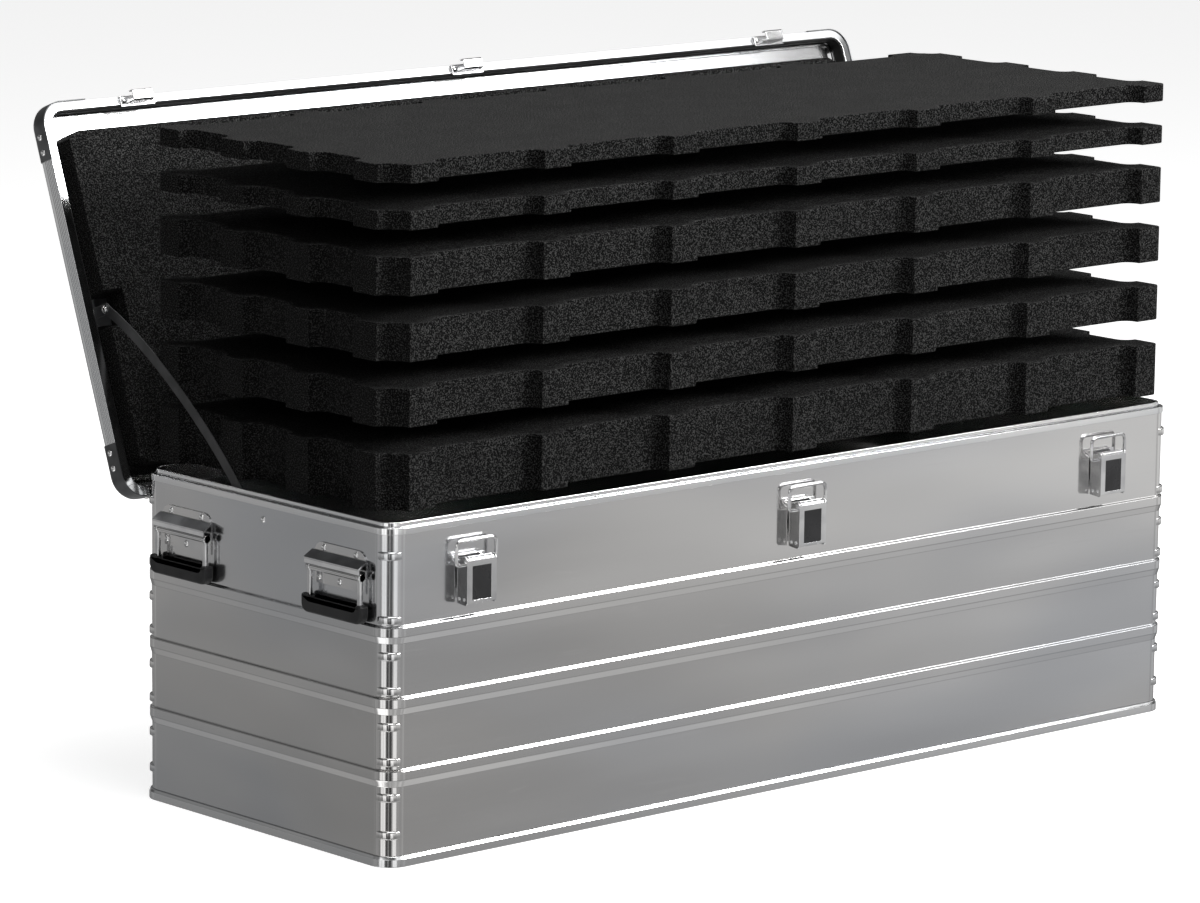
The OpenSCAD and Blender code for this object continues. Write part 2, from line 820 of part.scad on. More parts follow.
// A wire bail: a top bar, two bent corners, two legs and two inturned feet
module latch_bail(x) {
    top = bail_pivot_z + bail_h;
    foot_in = ear_out + 0.4;
    color("#c4c8cc")
        on_front(x)
            translate([0, bail_out, 0]) {
                translate([0, 0, top])
                    rotate([0, 90, 0])
                        cylinder(h = 2 * (bail_leg_x - bail_bend), r = wire_r, center = true);
                for (s = [0, 1])
                    mirror([s, 0, 0]) {
                        translate([bail_leg_x - bail_bend, 0, top - bail_bend])
                            rotate([90, 0, 0])
                                rotate_extrude(angle = 90)
                                    translate([bail_bend, 0])
                                        circle(wire_r, $fn = 32);
                        translate([bail_leg_x, 0, bail_pivot_z + foot_bend])
                            cylinder(h = bail_h - foot_bend - bail_bend, r = wire_r);
                        translate([bail_leg_x - foot_bend, 0, bail_pivot_z + foot_bend])
                            rotate([90, 90, 0])
                                rotate_extrude(angle = 90)
                                    translate([foot_bend, 0])
                                        circle(wire_r, $fn = 32);
                        translate([foot_in, 0, bail_pivot_z])
                            rotate([0, 90, 0])
                                cylinder(h = bail_leg_x - foot_bend - foot_in, r = wire_r);
                    }
            }
}

// Outline of a handle's plate: x is along the wall, y is height
module handle_plate_outline() {
    low = hplate_top - hplate_h;
    translate([-hplate_w / 2, low])
        square([hplate_w, hplate_h - hplate_r]);
    translate([-hplate_w / 2 + hplate_r, low])
        square([hplate_w - 2 * hplate_r, hplate_h]);
    for (s = [-1, 1])
        translate([s * (hplate_w / 2 - hplate_r), hplate_top - hplate_r])
            circle(hplate_r);
}

module handle_plate(side, y) {
    barrel_l = loop_w - 2 * leg_w - 2 * leg_gap;
    color("#a6abb0")
        difference() {
            on_end(side, y)
                difference() {
                    union() {
                        rotate([90, 0, 90])
                            linear_extrude(hplate_t)
                                handle_plate_outline();
                        translate([hinge_rod_out, 0, rod_z])
                            rotate([90, 0, 0])
                                cylinder(h = barrel_l, r = barrel_r, center = true);
                        translate([0, -barrel_l / 2, rod_z - barrel_r])
                            cube([hinge_rod_out, barrel_l, 2]);
                    }
                    translate([hinge_rod_out, 0, rod_z])
                        rotate([90, 0, 0])
                            cylinder(h = loop_w, r = hinge_rod_r, center = true);
                }
            at_handle_rivets()
                rivet_hole(hplate_t + wall_t);
        }
}

// A sloped hood over each handle's pivot, with a back leaf on the plate
module handle_hoods() {
    back = hplate_top - hood_back_drop;
    front = hplate_top - hood_front_drop;
    color("#3c3e40")
        for (side = [-1, 1], y = [-handle_spread, handle_spread])
            on_end(side, y)
                rotate([90, 0, 0])
                    linear_extrude(hood_w, center = true)
                        polygon([
                            [hplate_t, back], [hplate_t + hood_t, back], [hood_out, front],
                            [hood_out, front - hood_flange], [hood_out - hood_t, front - hood_flange],
                            [hood_out - hood_t, front - hood_t / 2],
                            [hplate_t + hood_t, back - 2 * hood_t],
                            [hplate_t + hood_t, rod_z + barrel_r + 1],
                            [hplate_t, rod_z + barrel_r + 1]]);
}

module handle_rods() {
    color("#dfe1e3")
        for (side = [-1, 1], y = [-handle_spread, handle_spread])
            on_end(side, y)
                translate([hinge_rod_out, 0, rod_z])
                    rotate([90, 0, 0])
                        cylinder(h = loop_w, r = hinge_rod_r, center = true);
}

module handle_rivets() {
    color("#d8dadc")
        at_handle_rivets()
            rivet(hplate_t + wall_t);
}

module handle_loop(side, y) {
    leg_low = rod_z - crossbar_drop - crossbar_h / 2;
    color("#303234")
        on_end(side, y)
            difference() {
                union() {
                    for (s = [-1, 1])
                        translate([hinge_rod_out, s * (loop_w - leg_w) / 2, 0]) {
                            translate([0, 0, rod_z])
                                rotate([90, 0, 0])
                                    cylinder(h = leg_w, r = eye_r, center = true);
                            translate([-leg_t / 2, -leg_w / 2, leg_low])
                                cube([leg_t, leg_w, rod_z - leg_low]);
                        }
                    translate([hinge_rod_out - leg_t / 2, -loop_w / 2, leg_low])
                        cube([leg_t, loop_w, crossbar_h]);
                }
                translate([hinge_rod_out, 0, rod_z])
                    rotate([90, 0, 0])
                        cylinder(h = loop_w + 2, r = hinge_rod_r + rod_run, center = true);
            }
}

// A moulded grip round the loop's crossbar, with rounded lower corners
module handle_grip(side, y) {
    mid = rod_z - grip_drop;
    low = mid - grip_h / 2;
    leg_low = rod_z - crossbar_drop - crossbar_h / 2;
    color("#1c1d1e")
        on_end(side, y)
            difference() {
                translate([hinge_rod_out - grip_t / 2 + 0.5, 0, 0])
                    rotate([90, 0, 90])
                        linear_extrude(grip_t) {
                            translate([-grip_w / 2, low + grip_r])
                                square([grip_w, grip_h - grip_r]);
                            translate([-grip_w / 2 + grip_r, low])
                                square([grip_w - 2 * grip_r, grip_h]);
                            for (s = [-1, 1])
                                translate([s * (grip_w / 2 - grip_r), low + grip_r])
                                    circle(grip_r);
                        }
                translate([hinge_rod_out - leg_t / 2, -loop_w / 2, leg_low])
                    cube([leg_t, loop_w, crossbar_h]);
                for (s = [-1, 1])
                    translate([hinge_rod_out, s * (loop_w - leg_w) / 2, leg_low])
                        translate([-leg_t / 2, -leg_w / 2, 0])
                            cube([leg_t, leg_w, rod_z - leg_low]);
            }
}

module lid_panel() {
    color("#9aa0a6")
        on_open_lid() {
            translate([0, 0, lid_rim_z + panel_d])
                linear_extrude(panel_t)
                    round_rect(lid_l - 2 * land_w, lid_w - 2 * land_w, lid_r - land_w);
            around(lid_l, lid_w, lid_r)
                polygon([
                    [-land_w - seal_t - 0.2, lid_rim_z + panel_d + eps],
                    [-land_w - seal_t - 0.2, lid_rim_z + panel_d - panel_ridge_h + 1],
                    [-land_w - seal_t - 1.2, lid_rim_z + panel_d - panel_ridge_h],
                    [-land_w - seal_t - panel_ridge_w, lid_rim_z + panel_d - panel_ridge_h],
                    [-land_w - seal_t - panel_ridge_w, lid_rim_z + panel_d + eps]]);
        }
}

// A hollow frame section: rim, rounded outer side and a flange over the panel
module lid_frame() {
    er = lid_edge_r;
    color("#b8bcc0")
        on_open_lid()
            difference() {
                around(lid_l, lid_w, lid_r)
                    translate([0, lid_rim_z])
                        difference() {
                            polygon(concat(
                                [[0, 0]], arc(-er, lid_side_h, er, 0, 90),
                                [[-land_w - panel_lap, lid_top_d],
                                    [-land_w - panel_lap, panel_d + panel_t],
                                    [-land_w, panel_d + panel_t], [-land_w, 0]]));
                            polygon(concat(
                                [[-frame_t, frame_t]],
                                arc(-er, lid_side_h, er - frame_t, 0, 90),
                                [[-land_w + frame_t, lid_top_d - frame_t],
                                    [-land_w + frame_t, frame_t]]));
                        }
                at_hinge_lid_rivets()
                    rivet_hole(leaf_t + frame_t);
                at_keeper_rivets()
                    rivet_hole(keeper_t + frame_t);
                at_bracket_rivets()
                    rivet_hole(bracket_t + frame_t);
            }
}

module lid_seal() {
    color("#141516")
        on_open_lid()
            around(lid_l, lid_w, lid_r)
                translate([0, lid_rim_z])
                    polygon([[-land_w, seal_top], [-land_w - seal_t * 0.6, seal_top],
                        [-land_w - seal_t, seal_top + 3], [-land_w - seal_t, seal_end],
                        [-land_w, seal_end]]);
}

// Rivets along both legs of each bracket, facing outward
module at_bracket_rivets() {
    for (sx = [-1, 1], sy = [-1, 1], d = [bracket_rivet_1, bracket_rivet_2]) {
        translate([sx * (lid_l / 2 - d), sy * (lid_w / 2 + bracket_t), lid_rim_z + bracket_rivet_d])
            rotate([-90 * sy, 0, 0])
                children();
        translate([sx * (lid_l / 2 + bracket_t), sy * (lid_w / 2 - d), lid_rim_z + bracket_rivet_d])
            rotate([0, 90 * sx, 0])
                children();
    }
}

module bracket_section() {
    er = lid_edge_r;
    translate([0, lid_rim_z])
        polygon(concat(
            [[0, 0], [bracket_t, 0]],
            arc(-er, lid_side_h, er + bracket_t, 0, 90),
            [[-bracket_top_w, lid_top_d + bracket_t], [-bracket_top_w, lid_top_d]],
            arc(-er, lid_side_h, er, 90, 0)));
}

module lid_corner_brackets() {
    leg = bracket_leg - lid_r;
    color("#34363a")
        on_open_lid()
            difference() {
                for (c = [[1, 1, 0], [-1, 1, 90], [-1, -1, 180], [1, -1, 270]])
                    translate([c[0] * (lid_l / 2 - lid_r), c[1] * (lid_w / 2 - lid_r), 0])
                        rotate([0, 0, c[2]]) {
                            rotate_extrude(angle = 90)
                                translate([lid_r, 0])
                                    bracket_section();
                            translate([lid_r, 0, 0])
                                rotate([90, 0, 0])
                                    linear_extrude(leg)
                                        bracket_section();
                            translate([0, lid_r, 0])
                                rotate([90, 0, -90])
                                    mirror([1, 0, 0])
                                        linear_extrude(leg)
                                            bracket_section();
                        }
                at_bracket_rivets()
                    rivet_hole(bracket_t + frame_t);
            }
}

module lid_corner_rivets() {
    color("#d8dadc")
        on_open_lid()
            at_bracket_rivets()
                rivet(bracket_t + frame_t);
}

module at_keeper_rivets() {
    for (x = latch_xs, dx = [-(keeper_w + hook_w) / 4, (keeper_w + hook_w) / 4])
        translate([x + dx, -lid_side_y + land_w / 2, lid_rim_z - keeper_t])
            rotate([180, 0, 0])
                children();
}

// A keeper under the lid's rim: a flat plate and a J-shaped hook for the bail's wire
module lid_keeper(x) {
    plate_out = lid_over_w;
    hook_end = lid_over_w + hook_out;
    trough_top = bail_pivot_z + bail_h - wire_r - hook_gap;
    color("#b0b4b8")
        on_open_lid()
            difference() {
                on_front(x) {
                    translate([-keeper_w / 2, keeper_gap, lid_rim_z - keeper_t])
                        cube([keeper_w, plate_out - keeper_gap, keeper_t]);
                    across(hook_w)
                        polygon([
                            [keeper_gap, lid_rim_z], [keeper_gap, trough_top - keeper_t],
                            [hook_end, trough_top - keeper_t],
                            [hook_end, trough_top - keeper_t + hook_lip_h],
                            [hook_end - keeper_t, trough_top - keeper_t + hook_lip_h],
                            [hook_end - keeper_t, trough_top], [keeper_gap + keeper_t, trough_top],
                            [keeper_gap + keeper_t, lid_rim_z]]);
                }
                at_keeper_rivets()
                    rivet_hole(keeper_t + frame_t);
            }
}

module keeper_rivets() {
    color("#d8dadc")
        on_open_lid()
            at_keeper_rivets()
                rivet(keeper_t + frame_t);
}

module lid_foam() {
    hl = lid_l / 2 - lid_foam_end;
    hw = lid_w / 2 - lid_foam_side;
    color("#26282a")
        on_open_lid()
            translate([0, 0, lid_rim_z - lid_foam_proud])
                linear_extrude(panel_d + lid_foam_proud)
                    difference() {
                        polygon([
                            [-hl + lid_foam_cut_l, -hw], [hl - lid_foam_cut_l, -hw],
                            [hl, -hw + lid_foam_cut_w], [hl, hw - lid_foam_cut_w],
                            [hl - lid_foam_cut_l, hw], [-hl + lid_foam_cut_l, hw],
                            [-hl, hw - lid_foam_cut_w], [-hl, -hw + lid_foam_cut_w]]);
                        for (s = [-1, 1])
                            translate([s * hl, stay_pivot_y])
                                square([2 * notch_d, notch_l], center = true);
                    }
}

// Angle brackets on the lid panel that carry the upper ends of the stays
module stay_brackets() {
    foot_z = lid_rim_z + panel_d;
    pivot_z = lid_rim_z + stay_pivot_d;
    color("#202224")
        on_open_lid()
            for (s = [0, 1])
                mirror([s, 0, 0]) {
                    translate([stay_in + stay_t - stay_foot_w, stay_pivot_y - stay_foot_l / 2,
                        foot_z - stay_t])
                        cube([stay_foot_w, stay_foot_l, stay_t]);
                    translate([stay_in + stay_t / 2, 0, 0])
                        across(stay_t) {
                            translate([stay_pivot_y - strap_w / 2, pivot_z])
                                square([strap_w, foot_z - pivot_z]);
                            translate([stay_pivot_y, pivot_z])
                                circle(strap_w / 2);
                        }
                    translate([strap_in, stay_pivot_y, pivot_z])
                        rotate([0, 90, 0])
                            cylinder(h = stay_in - strap_in + stay_t, r = stay_pin_r);
                }
}

// Point and direction of the strap's curve at t, from the lid's pivot to the case
function lid_point(y, z) = [
    hinge_y + (y - hinge_y) * cos(lid_open_deg) + (z - hinge_z) * sin(lid_open_deg),
    hinge_z - (y - hinge_y) * sin(lid_open_deg) + (z - hinge_z) * cos(lid_open_deg)];
strap_from = lid_point(stay_pivot_y, lid_rim_z + stay_pivot_d);
strap_to = [stay_anchor_y, stay_anchor_z];
strap_a = strap_from + [-74, -26];
strap_b = strap_to + [39, 55];
function bezier(t) = strap_from * pow(1 - t, 3) + strap_a * 3 * t * pow(1 - t, 2)
    + strap_b * 3 * t * t * (1 - t) + strap_to * pow(t, 3);
function bezier_way(t) = (strap_a - strap_from) * pow(1 - t, 2)
    + (strap_b - strap_a) * 2 * t * (1 - t) + (strap_to - strap_b) * t * t;
function strap_edge(t, d) = bezier(t) + d * [bezier_way(t)[1], -bezier_way(t)[0]] / norm(bezier_way(t));

module lid_stay(side) {
    steps = 20;
    lower = [for (i = [0:steps]) strap_edge(i / steps, strap_w / 2)];
    upper = [for (i = [steps:-1:0]) strap_edge(i / steps, -strap_w / 2)];
    color("#4a4c4e")
        translate([side * (strap_in + strap_t / 2), 0, 0])
            across(strap_t)
                difference() {
                    union() {
                        polygon(concat(lower, upper));
                        translate(strap_from)
                            circle(strap_eye_r);
                        translate(strap_to)
                            circle(strap_eye_r);
                    }
                    translate(strap_from)
                        circle(stay_pin_r + rivet_gap);
                }
}

// Spacers on the rim's lip that carry the stays' lower ends
module stay_anchors() {
    color("#8e9398")
        for (s = [0, 1])
            mirror([s, 0, 0])
                translate([strap_out + 0.1, stay_anchor_y, stay_anchor_z])
                    rotate([0, 90, 0])
                        cylinder(h = lip_face - strap_out - 0.1, r = stay_pin_r + 2);
}

// A recess in a layer's edge: x runs along the edge, the edge is at y = 0, open downward
module recess(length) {
    translate([-length / 2, -1])
        square([length, recess_d - recess_r + 1]);
    translate([-length / 2 + recess_r, -1])
        square([length - 2 * recess_r, recess_d + 1]);
    for (s = [-1, 1])
        translate([s * (length / 2 - recess_r), recess_d - recess_r])
            circle(recess_r);
}

// Recesses along the front and the left edge, left of and below each tooth
module half_recesses() {
    gap_l = pitch_l - tooth_w;
    gap_w = pitch_w - tooth_w;
    for (k = [0:teeth_l - 1])
        translate([first_tooth - k * pitch_l - gap_l / 2, -foam_w / 2])
            recess(gap_l);
    for (k = [0:teeth_w - 1])
        translate([-foam_l / 2, first_tooth_w - k * pitch_w - gap_w / 2])
            rotate([0, 0, -90])
                recess(gap_w);
}

module foam_layer(i) {
    color("#2a2c2e")
        translate([0, 0, foam_bottoms[i]])
            linear_extrude(foam_t[i])
                difference() {
                    round_rect(foam_l, foam_w, foam_corner_r);
                    half_recesses();
                    rotate([0, 0, 180])
                        half_recesses();
                }
}

body_shell();
floor_panel();
base_frame();
rim_frame();
rim_rivets();
hinge_body_leaves();
hinge_pins();
hinge_body_rivets();
hinge_lid_leaves();
hinge_lid_rivets();
latch_base(latch_xs[0]);  // latch_base_left
latch_base(latch_xs[1]);  // latch_base_centre
latch_base(latch_xs[2]);  // latch_base_right
latch_pins();
latch_rivets();
latch_lever(latch_xs[0]);  // latch_lever_left
latch_lever(latch_xs[1]);  // latch_lever_centre
latch_lever(latch_xs[2]);  // latch_lever_right
latch_label(latch_xs[0]);  // latch_label_left
latch_label(latch_xs[1]);  // latch_label_centre
latch_label(latch_xs[2]);  // latch_label_right
latch_bail(latch_xs[0]);  // latch_bail_left
latch_bail(latch_xs[1]);  // latch_bail_centre
latch_bail(latch_xs[2]);  // latch_bail_right
handle_plate(-1, -handle_spread);  // handle_plate_left_front
handle_plate(-1, handle_spread);  // handle_plate_left_rear
handle_plate(1, -handle_spread);  // handle_plate_right_front
handle_plate(1, handle_spread);  // handle_plate_right_rear
handle_hoods();
handle_rods();
handle_rivets();
handle_loop(-1, -handle_spread);  // handle_loop_left_front
handle_loop(-1, handle_spread);  // handle_loop_left_rear
handle_loop(1, -handle_spread);  // handle_loop_right_front
handle_loop(1, handle_spread);  // handle_loop_right_rear
handle_grip(-1, -handle_spread);  // handle_grip_left_front
handle_grip(-1, handle_spread);  // handle_grip_left_rear
handle_grip(1, -handle_spread);  // handle_grip_right_front
handle_grip(1, handle_spread);  // handle_grip_right_rear
lid_panel();
lid_frame();
lid_seal();
lid_corner_brackets();
lid_corner_rivets();
lid_keeper(latch_xs[0]);  // lid_keeper_left
lid_keeper(latch_xs[1]);  // lid_keeper_centre
lid_keeper(latch_xs[2]);  // lid_keeper_right
keeper_rivets();
lid_foam();
stay_brackets();
lid_stay(-1);  // lid_stay_left
lid_stay(1);  // lid_stay_right
stay_anchors();
foam_layer(0);  // foam_layer_1
foam_layer(1);  // foam_layer_2
foam_layer(2);  // foam_layer_3
foam_layer(3);  // foam_layer_4
foam_layer(4);  // foam_layer_5
foam_layer(5);  // foam_layer_6
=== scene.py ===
import math

import bmesh
import bpy
from bpy.props import FloatProperty, FloatVectorProperty, PointerProperty
from mathutils import Matrix, Vector


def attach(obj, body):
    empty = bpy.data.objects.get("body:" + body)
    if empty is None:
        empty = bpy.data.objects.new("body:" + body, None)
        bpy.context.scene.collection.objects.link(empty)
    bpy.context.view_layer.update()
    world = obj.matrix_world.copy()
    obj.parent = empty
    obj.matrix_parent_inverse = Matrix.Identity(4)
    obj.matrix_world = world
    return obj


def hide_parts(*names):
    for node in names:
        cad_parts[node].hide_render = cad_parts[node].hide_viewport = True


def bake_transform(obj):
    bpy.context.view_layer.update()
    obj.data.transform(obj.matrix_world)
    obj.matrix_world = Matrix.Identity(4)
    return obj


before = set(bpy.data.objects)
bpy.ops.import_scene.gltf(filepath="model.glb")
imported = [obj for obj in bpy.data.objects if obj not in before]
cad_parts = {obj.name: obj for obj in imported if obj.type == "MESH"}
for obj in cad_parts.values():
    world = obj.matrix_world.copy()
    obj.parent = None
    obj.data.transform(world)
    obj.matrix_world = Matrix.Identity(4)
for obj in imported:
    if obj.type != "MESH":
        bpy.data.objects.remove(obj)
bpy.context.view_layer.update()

bl_info = {
    "name": "Long transport case",
    "version": (1, 0, 0),
    "blender": (4, 5, 0),
    "location": "3D View > Sidebar > Case",
    "description": "Builds a long aluminium transport case with its lid, latches, handles and cut foam",
    "category": "Add Mesh",
}

MM = 0.001
EVEN = (1.0, 1.0, 1.0)
HANDLES = {
    "left_front": (-1, -1),
    "left_rear": (-1, 1),
    "right_front": (1, -1),
    "right_rear": (1, 1),
}
LATCHES = {"left": -1, "centre": 0, "right": 1}


def mm(*lengths):
    """Lengths in metres from plain millimetres."""
    return tuple(length * MM for length in lengths)


def size(label, description, millimetres):
    """A length that a user can change, given in millimetres."""
    return FloatProperty(name=label, description=description, default=millimetres * MM,
                         min=0.0, unit="LENGTH", precision=4)


def amount(label, description, value):
    """A plain number that a user can change."""
    return FloatProperty(name=label, description=description, default=value, min=0.0, precision=3)


def tone(label, description, rgb):
    """A colour that a user can change."""
    return FloatVectorProperty(name=label, description=description, default=rgb,
                               size=3, min=0.0, max=1.0, subtype="COLOR")


class CaseBodySizes(bpy.types.PropertyGroup):
    """Sizes of the pressed body with its base and rim."""

    length: size("Length", "Length over the walls", 1180)
    width: size("Width", "Width over the walls", 412)
    height: size("Height", "Height of the rim above the floor", 360)
    corner: size("Corner radius", "Outer corner radius of the walls", 22.5)
    wall: size("Wall", "Thickness of the wall sheet", 1.5)
    bead_height: size("Band height", "Height of one pressed band", 19)
    bead_depth: size("Band depth", "How far a pressed band stands out", 2.6)
    ring_height: size("Ring height", "Height of one corner ring", 9)
    ring_radius: size("Ring radius", "Radius of a corner ring", 15)
    ring_out: size("Ring offset", "Distance of a ring's centre from the corner's centre", 10.5)
    base_height: size("Base height", "Height of the base frame", 11.5)
    base_proud: size("Base stand-out", "How far the base frame stands out", 3.4)
    rim_band: size("Rim band", "Height of the rim's outer band", 7)
    rim_proud: size("Rim stand-out", "How far the rim's band stands out", 1.2)
    lip_height: size("Lip height", "Height of the inner lip above the rim", 5)


class CaseLidSizes(bpy.types.PropertyGroup):
    """Sizes of the lid, drawn shut."""

    length: size("Length", "Length over the lid's frame", 1216)
    width: size("Width", "Width over the lid's frame", 439.6)
    corner: size("Corner radius", "Outer corner radius of the lid", 26)
    rim_height: size("Rim height", "Height of the shut lid's rim above the floor", 349)
    side: size("Side height", "Height of the lid's side band", 17.5)
    edge: size("Edge radius", "Radius of the lid's outer edge", 7.5)
    land: size("Rim width", "Width of the lid's rim", 10)
    rib_pitch: size("Rib pitch", "Distance between two fine ribs of the side band", 2.5)
    rib_depth: size("Rib depth", "Depth of the fine ribs", 0.3)
    hinge_y: size("Hinge distance", "Distance of the hinge line from the middle", 209.3)
    hinge_z: size("Hinge height", "Height of the hinge line above the floor", 344.3)
    opening: FloatProperty(name="Opening", description="Angle of the open lid from shut",
                           default=math.radians(110.5), min=0.0, unit="ROTATION")


class CaseFittingSizes(bpy.types.PropertyGroup):
    """Sizes of rivets, latches, handles and stays."""

    rivet: size("Rivet head", "Radius of a rivet's head", 3.7)
    rivet_height: size("Rivet height", "Height of a rivet's head", 1.7)
    soft_edge: size("Soft edge", "Rounding on the edges of pressed fittings", 0.35)
    bar_edge: size("Bar edge", "Rounding on the edges of the handle's bars", 1.3)
    latch_spread: size("Latch spread", "Distance of the outer latches from the middle", 478)
    wire: size("Bail wire", "Radius of a latch bail's wire", 2.0)
    handle_spread: size("Handle spread", "Distance of a handle from the middle of its wall", 129)
    grip_width: size("Grip width", "Width of a handle's grip", 98)
    grip_depth: size("Grip depth", "Thickness of a grip", 12.4)
    grip_edge: size("Grip edge", "Rounding of a grip's long edges", 3.2)
    strap_width: size("Strap width", "Width of a lid stay's strap", 12)
    strap: size("Strap thickness", "Thickness of a lid stay's strap", 1.2)
    strap_eye: size("Strap eye", "Radius of a strap's round ends", 7)


class CaseFoamLook(bpy.types.PropertyGroup):
    """Look of the cut foam."""

    cut_edge: size("Cut edge", "Rounding on the foam's cut edges", 1.0)
    cell: size("Cell size", "Size of the foam's open cells", 1.5)
    dark: tone("Cell colour", "Colour inside the foam's cells", (0.001, 0.001, 0.001))
    light: tone("Skin colour", "Colour of the foam between its cells", (0.085, 0.085, 0.084))


class CaseMetalLook(bpy.types.PropertyGroup):
    """Look of the metals and plastics."""

    # The pale and deep tones below are mixed in random patches, which are partly painted blotchy reflections
    sheet_pale: tone("Sheet, pale", "Pale patches of the wall sheet", (0.76, 0.75, 0.74))
    sheet_deep: tone("Sheet, deep", "Deep patches of the wall sheet", (0.60, 0.61, 0.63))
    frame_pale: tone("Frame, pale", "Pale patches of the drawn frames", (0.86, 0.86, 0.86))
    frame_deep: tone("Frame, deep", "Deep patches of the drawn frames", (0.76, 0.77, 0.78))
    steel_pale: tone("Steel, pale", "Pale patches of the steel fittings", (0.80, 0.80, 0.80))
    steel_deep: tone("Steel, deep", "Deep patches of the steel fittings", (0.64, 0.64, 0.65))
    bracket: tone("Bracket", "Colour of the dark corner brackets", (0.085, 0.087, 0.09))
    plastic: tone("Plastic", "Colour of grips and bare label plates", (0.018, 0.018, 0.019))
    rubber: tone("Rubber", "Colour of the lid's seal", (0.014, 0.014, 0.014))
    strap: tone("Strap", "Colour of the lid stays", (0.06, 0.06, 0.062))
    patch: amount("Patches", "Patches of the sheet for each metre", 2.6)
    gloss: amount("Gloss", "Lowest roughness of the sheet", 0.09)


class CaseStageLook(bpy.types.PropertyGroup):
    """Floor and lights."""

    floor: tone("Floor", "Colour of the floor", (0.86, 0.86, 0.86))
    bounce: tone("Bounce", "Colour of the light that the floor throws back", (0.22, 0.22, 0.22))
    floor_glow: amount("Floor glow", "How much the floor shines by itself", 0.8)
    sky: amount("Surroundings", "Strength of the surroundings that metal mirrors", 0.82)
    drift: amount("Drift", "Patches of the surroundings, from few to many", 5.0)
    soft: amount("Soft share", "Share of the surroundings that lights matt surfaces", 0.2)
    key: amount("Key light", "Power of the large front light in watts", 180.0)
    top: amount("Top light", "Power of the overhead light in watts", 90.0)
    pale_side: FloatProperty(name="Pale side", description="Direction of the paler surroundings",
                             default=math.radians(-45), unit="ROTATION")


class CaseSettings(bpy.types.PropertyGroup):
    """All settings of the transport case."""

    body: PointerProperty(type=CaseBodySizes)
    lid: PointerProperty(type=CaseLidSizes)
    fittings: PointerProperty(type=CaseFittingSizes)
    foam: PointerProperty(type=CaseFoamLook)
    metal: PointerProperty(type=CaseMetalLook)
    stage: PointerProperty(type=CaseStageLook)


def settings():
    """The case's settings in this scene."""
    return bpy.context.scene.transport_case


# Nodes

def fill(tree, node, inputs):
    """Sets a node's inputs, named by label or place, to plain values or links them to sockets."""
    for label, value in inputs.items():
        socket = node.inputs[label]
        if isinstance(value, bpy.types.NodeSocket):
            tree.links.new(value, socket)
        elif socket.type == "RGBA" and len(value) == 3:
            socket.default_value = (*value, 1.0)
        else:
            socket.default_value = value


def add(tree, kind, inputs=None, **options):
    """Adds a node with its options and inputs."""
    node = tree.nodes.new(kind)
    for name, value in options.items():
        setattr(node, name, value)
    fill(tree, node, inputs or {})
    return node


def empty_tree(name, kind, inputs, outputs):
    """A new node tree with named sockets, and its input and output nodes."""
    tree = bpy.data.node_groups.new(name, kind)
    for way, rows in (("INPUT", inputs), ("OUTPUT", outputs)):
        for label, socket_kind, *default in rows:
            socket = tree.interface.new_socket(label, in_out=way, socket_type="NodeSocket" + socket_kind)
            if default:
                socket.default_value = default[0]
    return tree, tree.nodes.new("NodeGroupInput"), tree.nodes.new("NodeGroupOutput")


def tree_named(name, maker):
    """The shared node tree with this name, made on its first use."""
    return bpy.data.node_groups.get(name) or maker()


def stretched_noise(tree, place, stretch, scale, detail=2.0, distortion=0.0):
    """Noise on stretched coordinates. Scale may be a number or a socket."""
    mapping = add(tree, "ShaderNodeMapping", {"Vector": place, "Scale": stretch})
    return add(tree, "ShaderNodeTexNoise", {
        "Vector": mapping.outputs["Vector"], "Scale": scale, "Detail": detail,
        "Distortion": distortion}).outputs["Fac"]


def ranged(tree, value, low, high, to_low=0.0, to_high=1.0):
    """Maps a value smoothly from one range to another, without leaving it."""
    return add(tree, "ShaderNodeMapRange", {
        "Value": value, "From Min": low, "From Max": high, "To Min": to_low, "To Max": to_high},
        interpolation_type="SMOOTHSTEP").outputs["Result"]


def product(tree, first, second):
    """Two sockets or numbers multiplied."""
    return add(tree, "ShaderNodeMath", {0: first, 1: second}, operation="MULTIPLY").outputs[0]


def total(tree, first, second):
    """Two sockets or numbers added."""
    return add(tree, "ShaderNodeMath", {0: first, 1: second}, operation="ADD").outputs[0]


def blended(tree, factor, first, second):
    """A mix of two colours, each a socket or a plain colour."""
    return add(tree, "ShaderNodeMix", {"Factor": factor, 6: first, 7: second},
               data_type="RGBA").outputs[2]


# Shader node groups

def patches_group():
    """Soft tone patches and slight waves of rolled or drawn metal; the tone patches are partly the metal's
    random tone and partly painted blotchy reflections.
    """
    group, start, end = empty_tree(
        "Metal Patches", "ShaderNodeTree",
        (("Place", "Vector"), ("Pale Tone", "Color", (0.8, 0.8, 0.8, 1)),
         ("Deep Tone", "Color", (0.6, 0.6, 0.6, 1)), ("Patch Scale", "Float", 2.5)),
        (("Tone", "Color"), ("Patches", "Float"), ("Waves", "Float")))
    given = start.outputs
    patches = stretched_noise(group, given["Place"], (0.7, 1.1, 1.7), given["Patch Scale"], 1.5, 0.4)
    soft = ranged(group, patches, 0.33, 0.67)
    fill(group, end, {
        "Tone": blended(group, soft, given["Pale Tone"], given["Deep Tone"]), "Patches": soft,
        "Waves": stretched_noise(group, given["Place"], (0.45, 0.6, 1.5), 5.5, 1.0)})
    return group


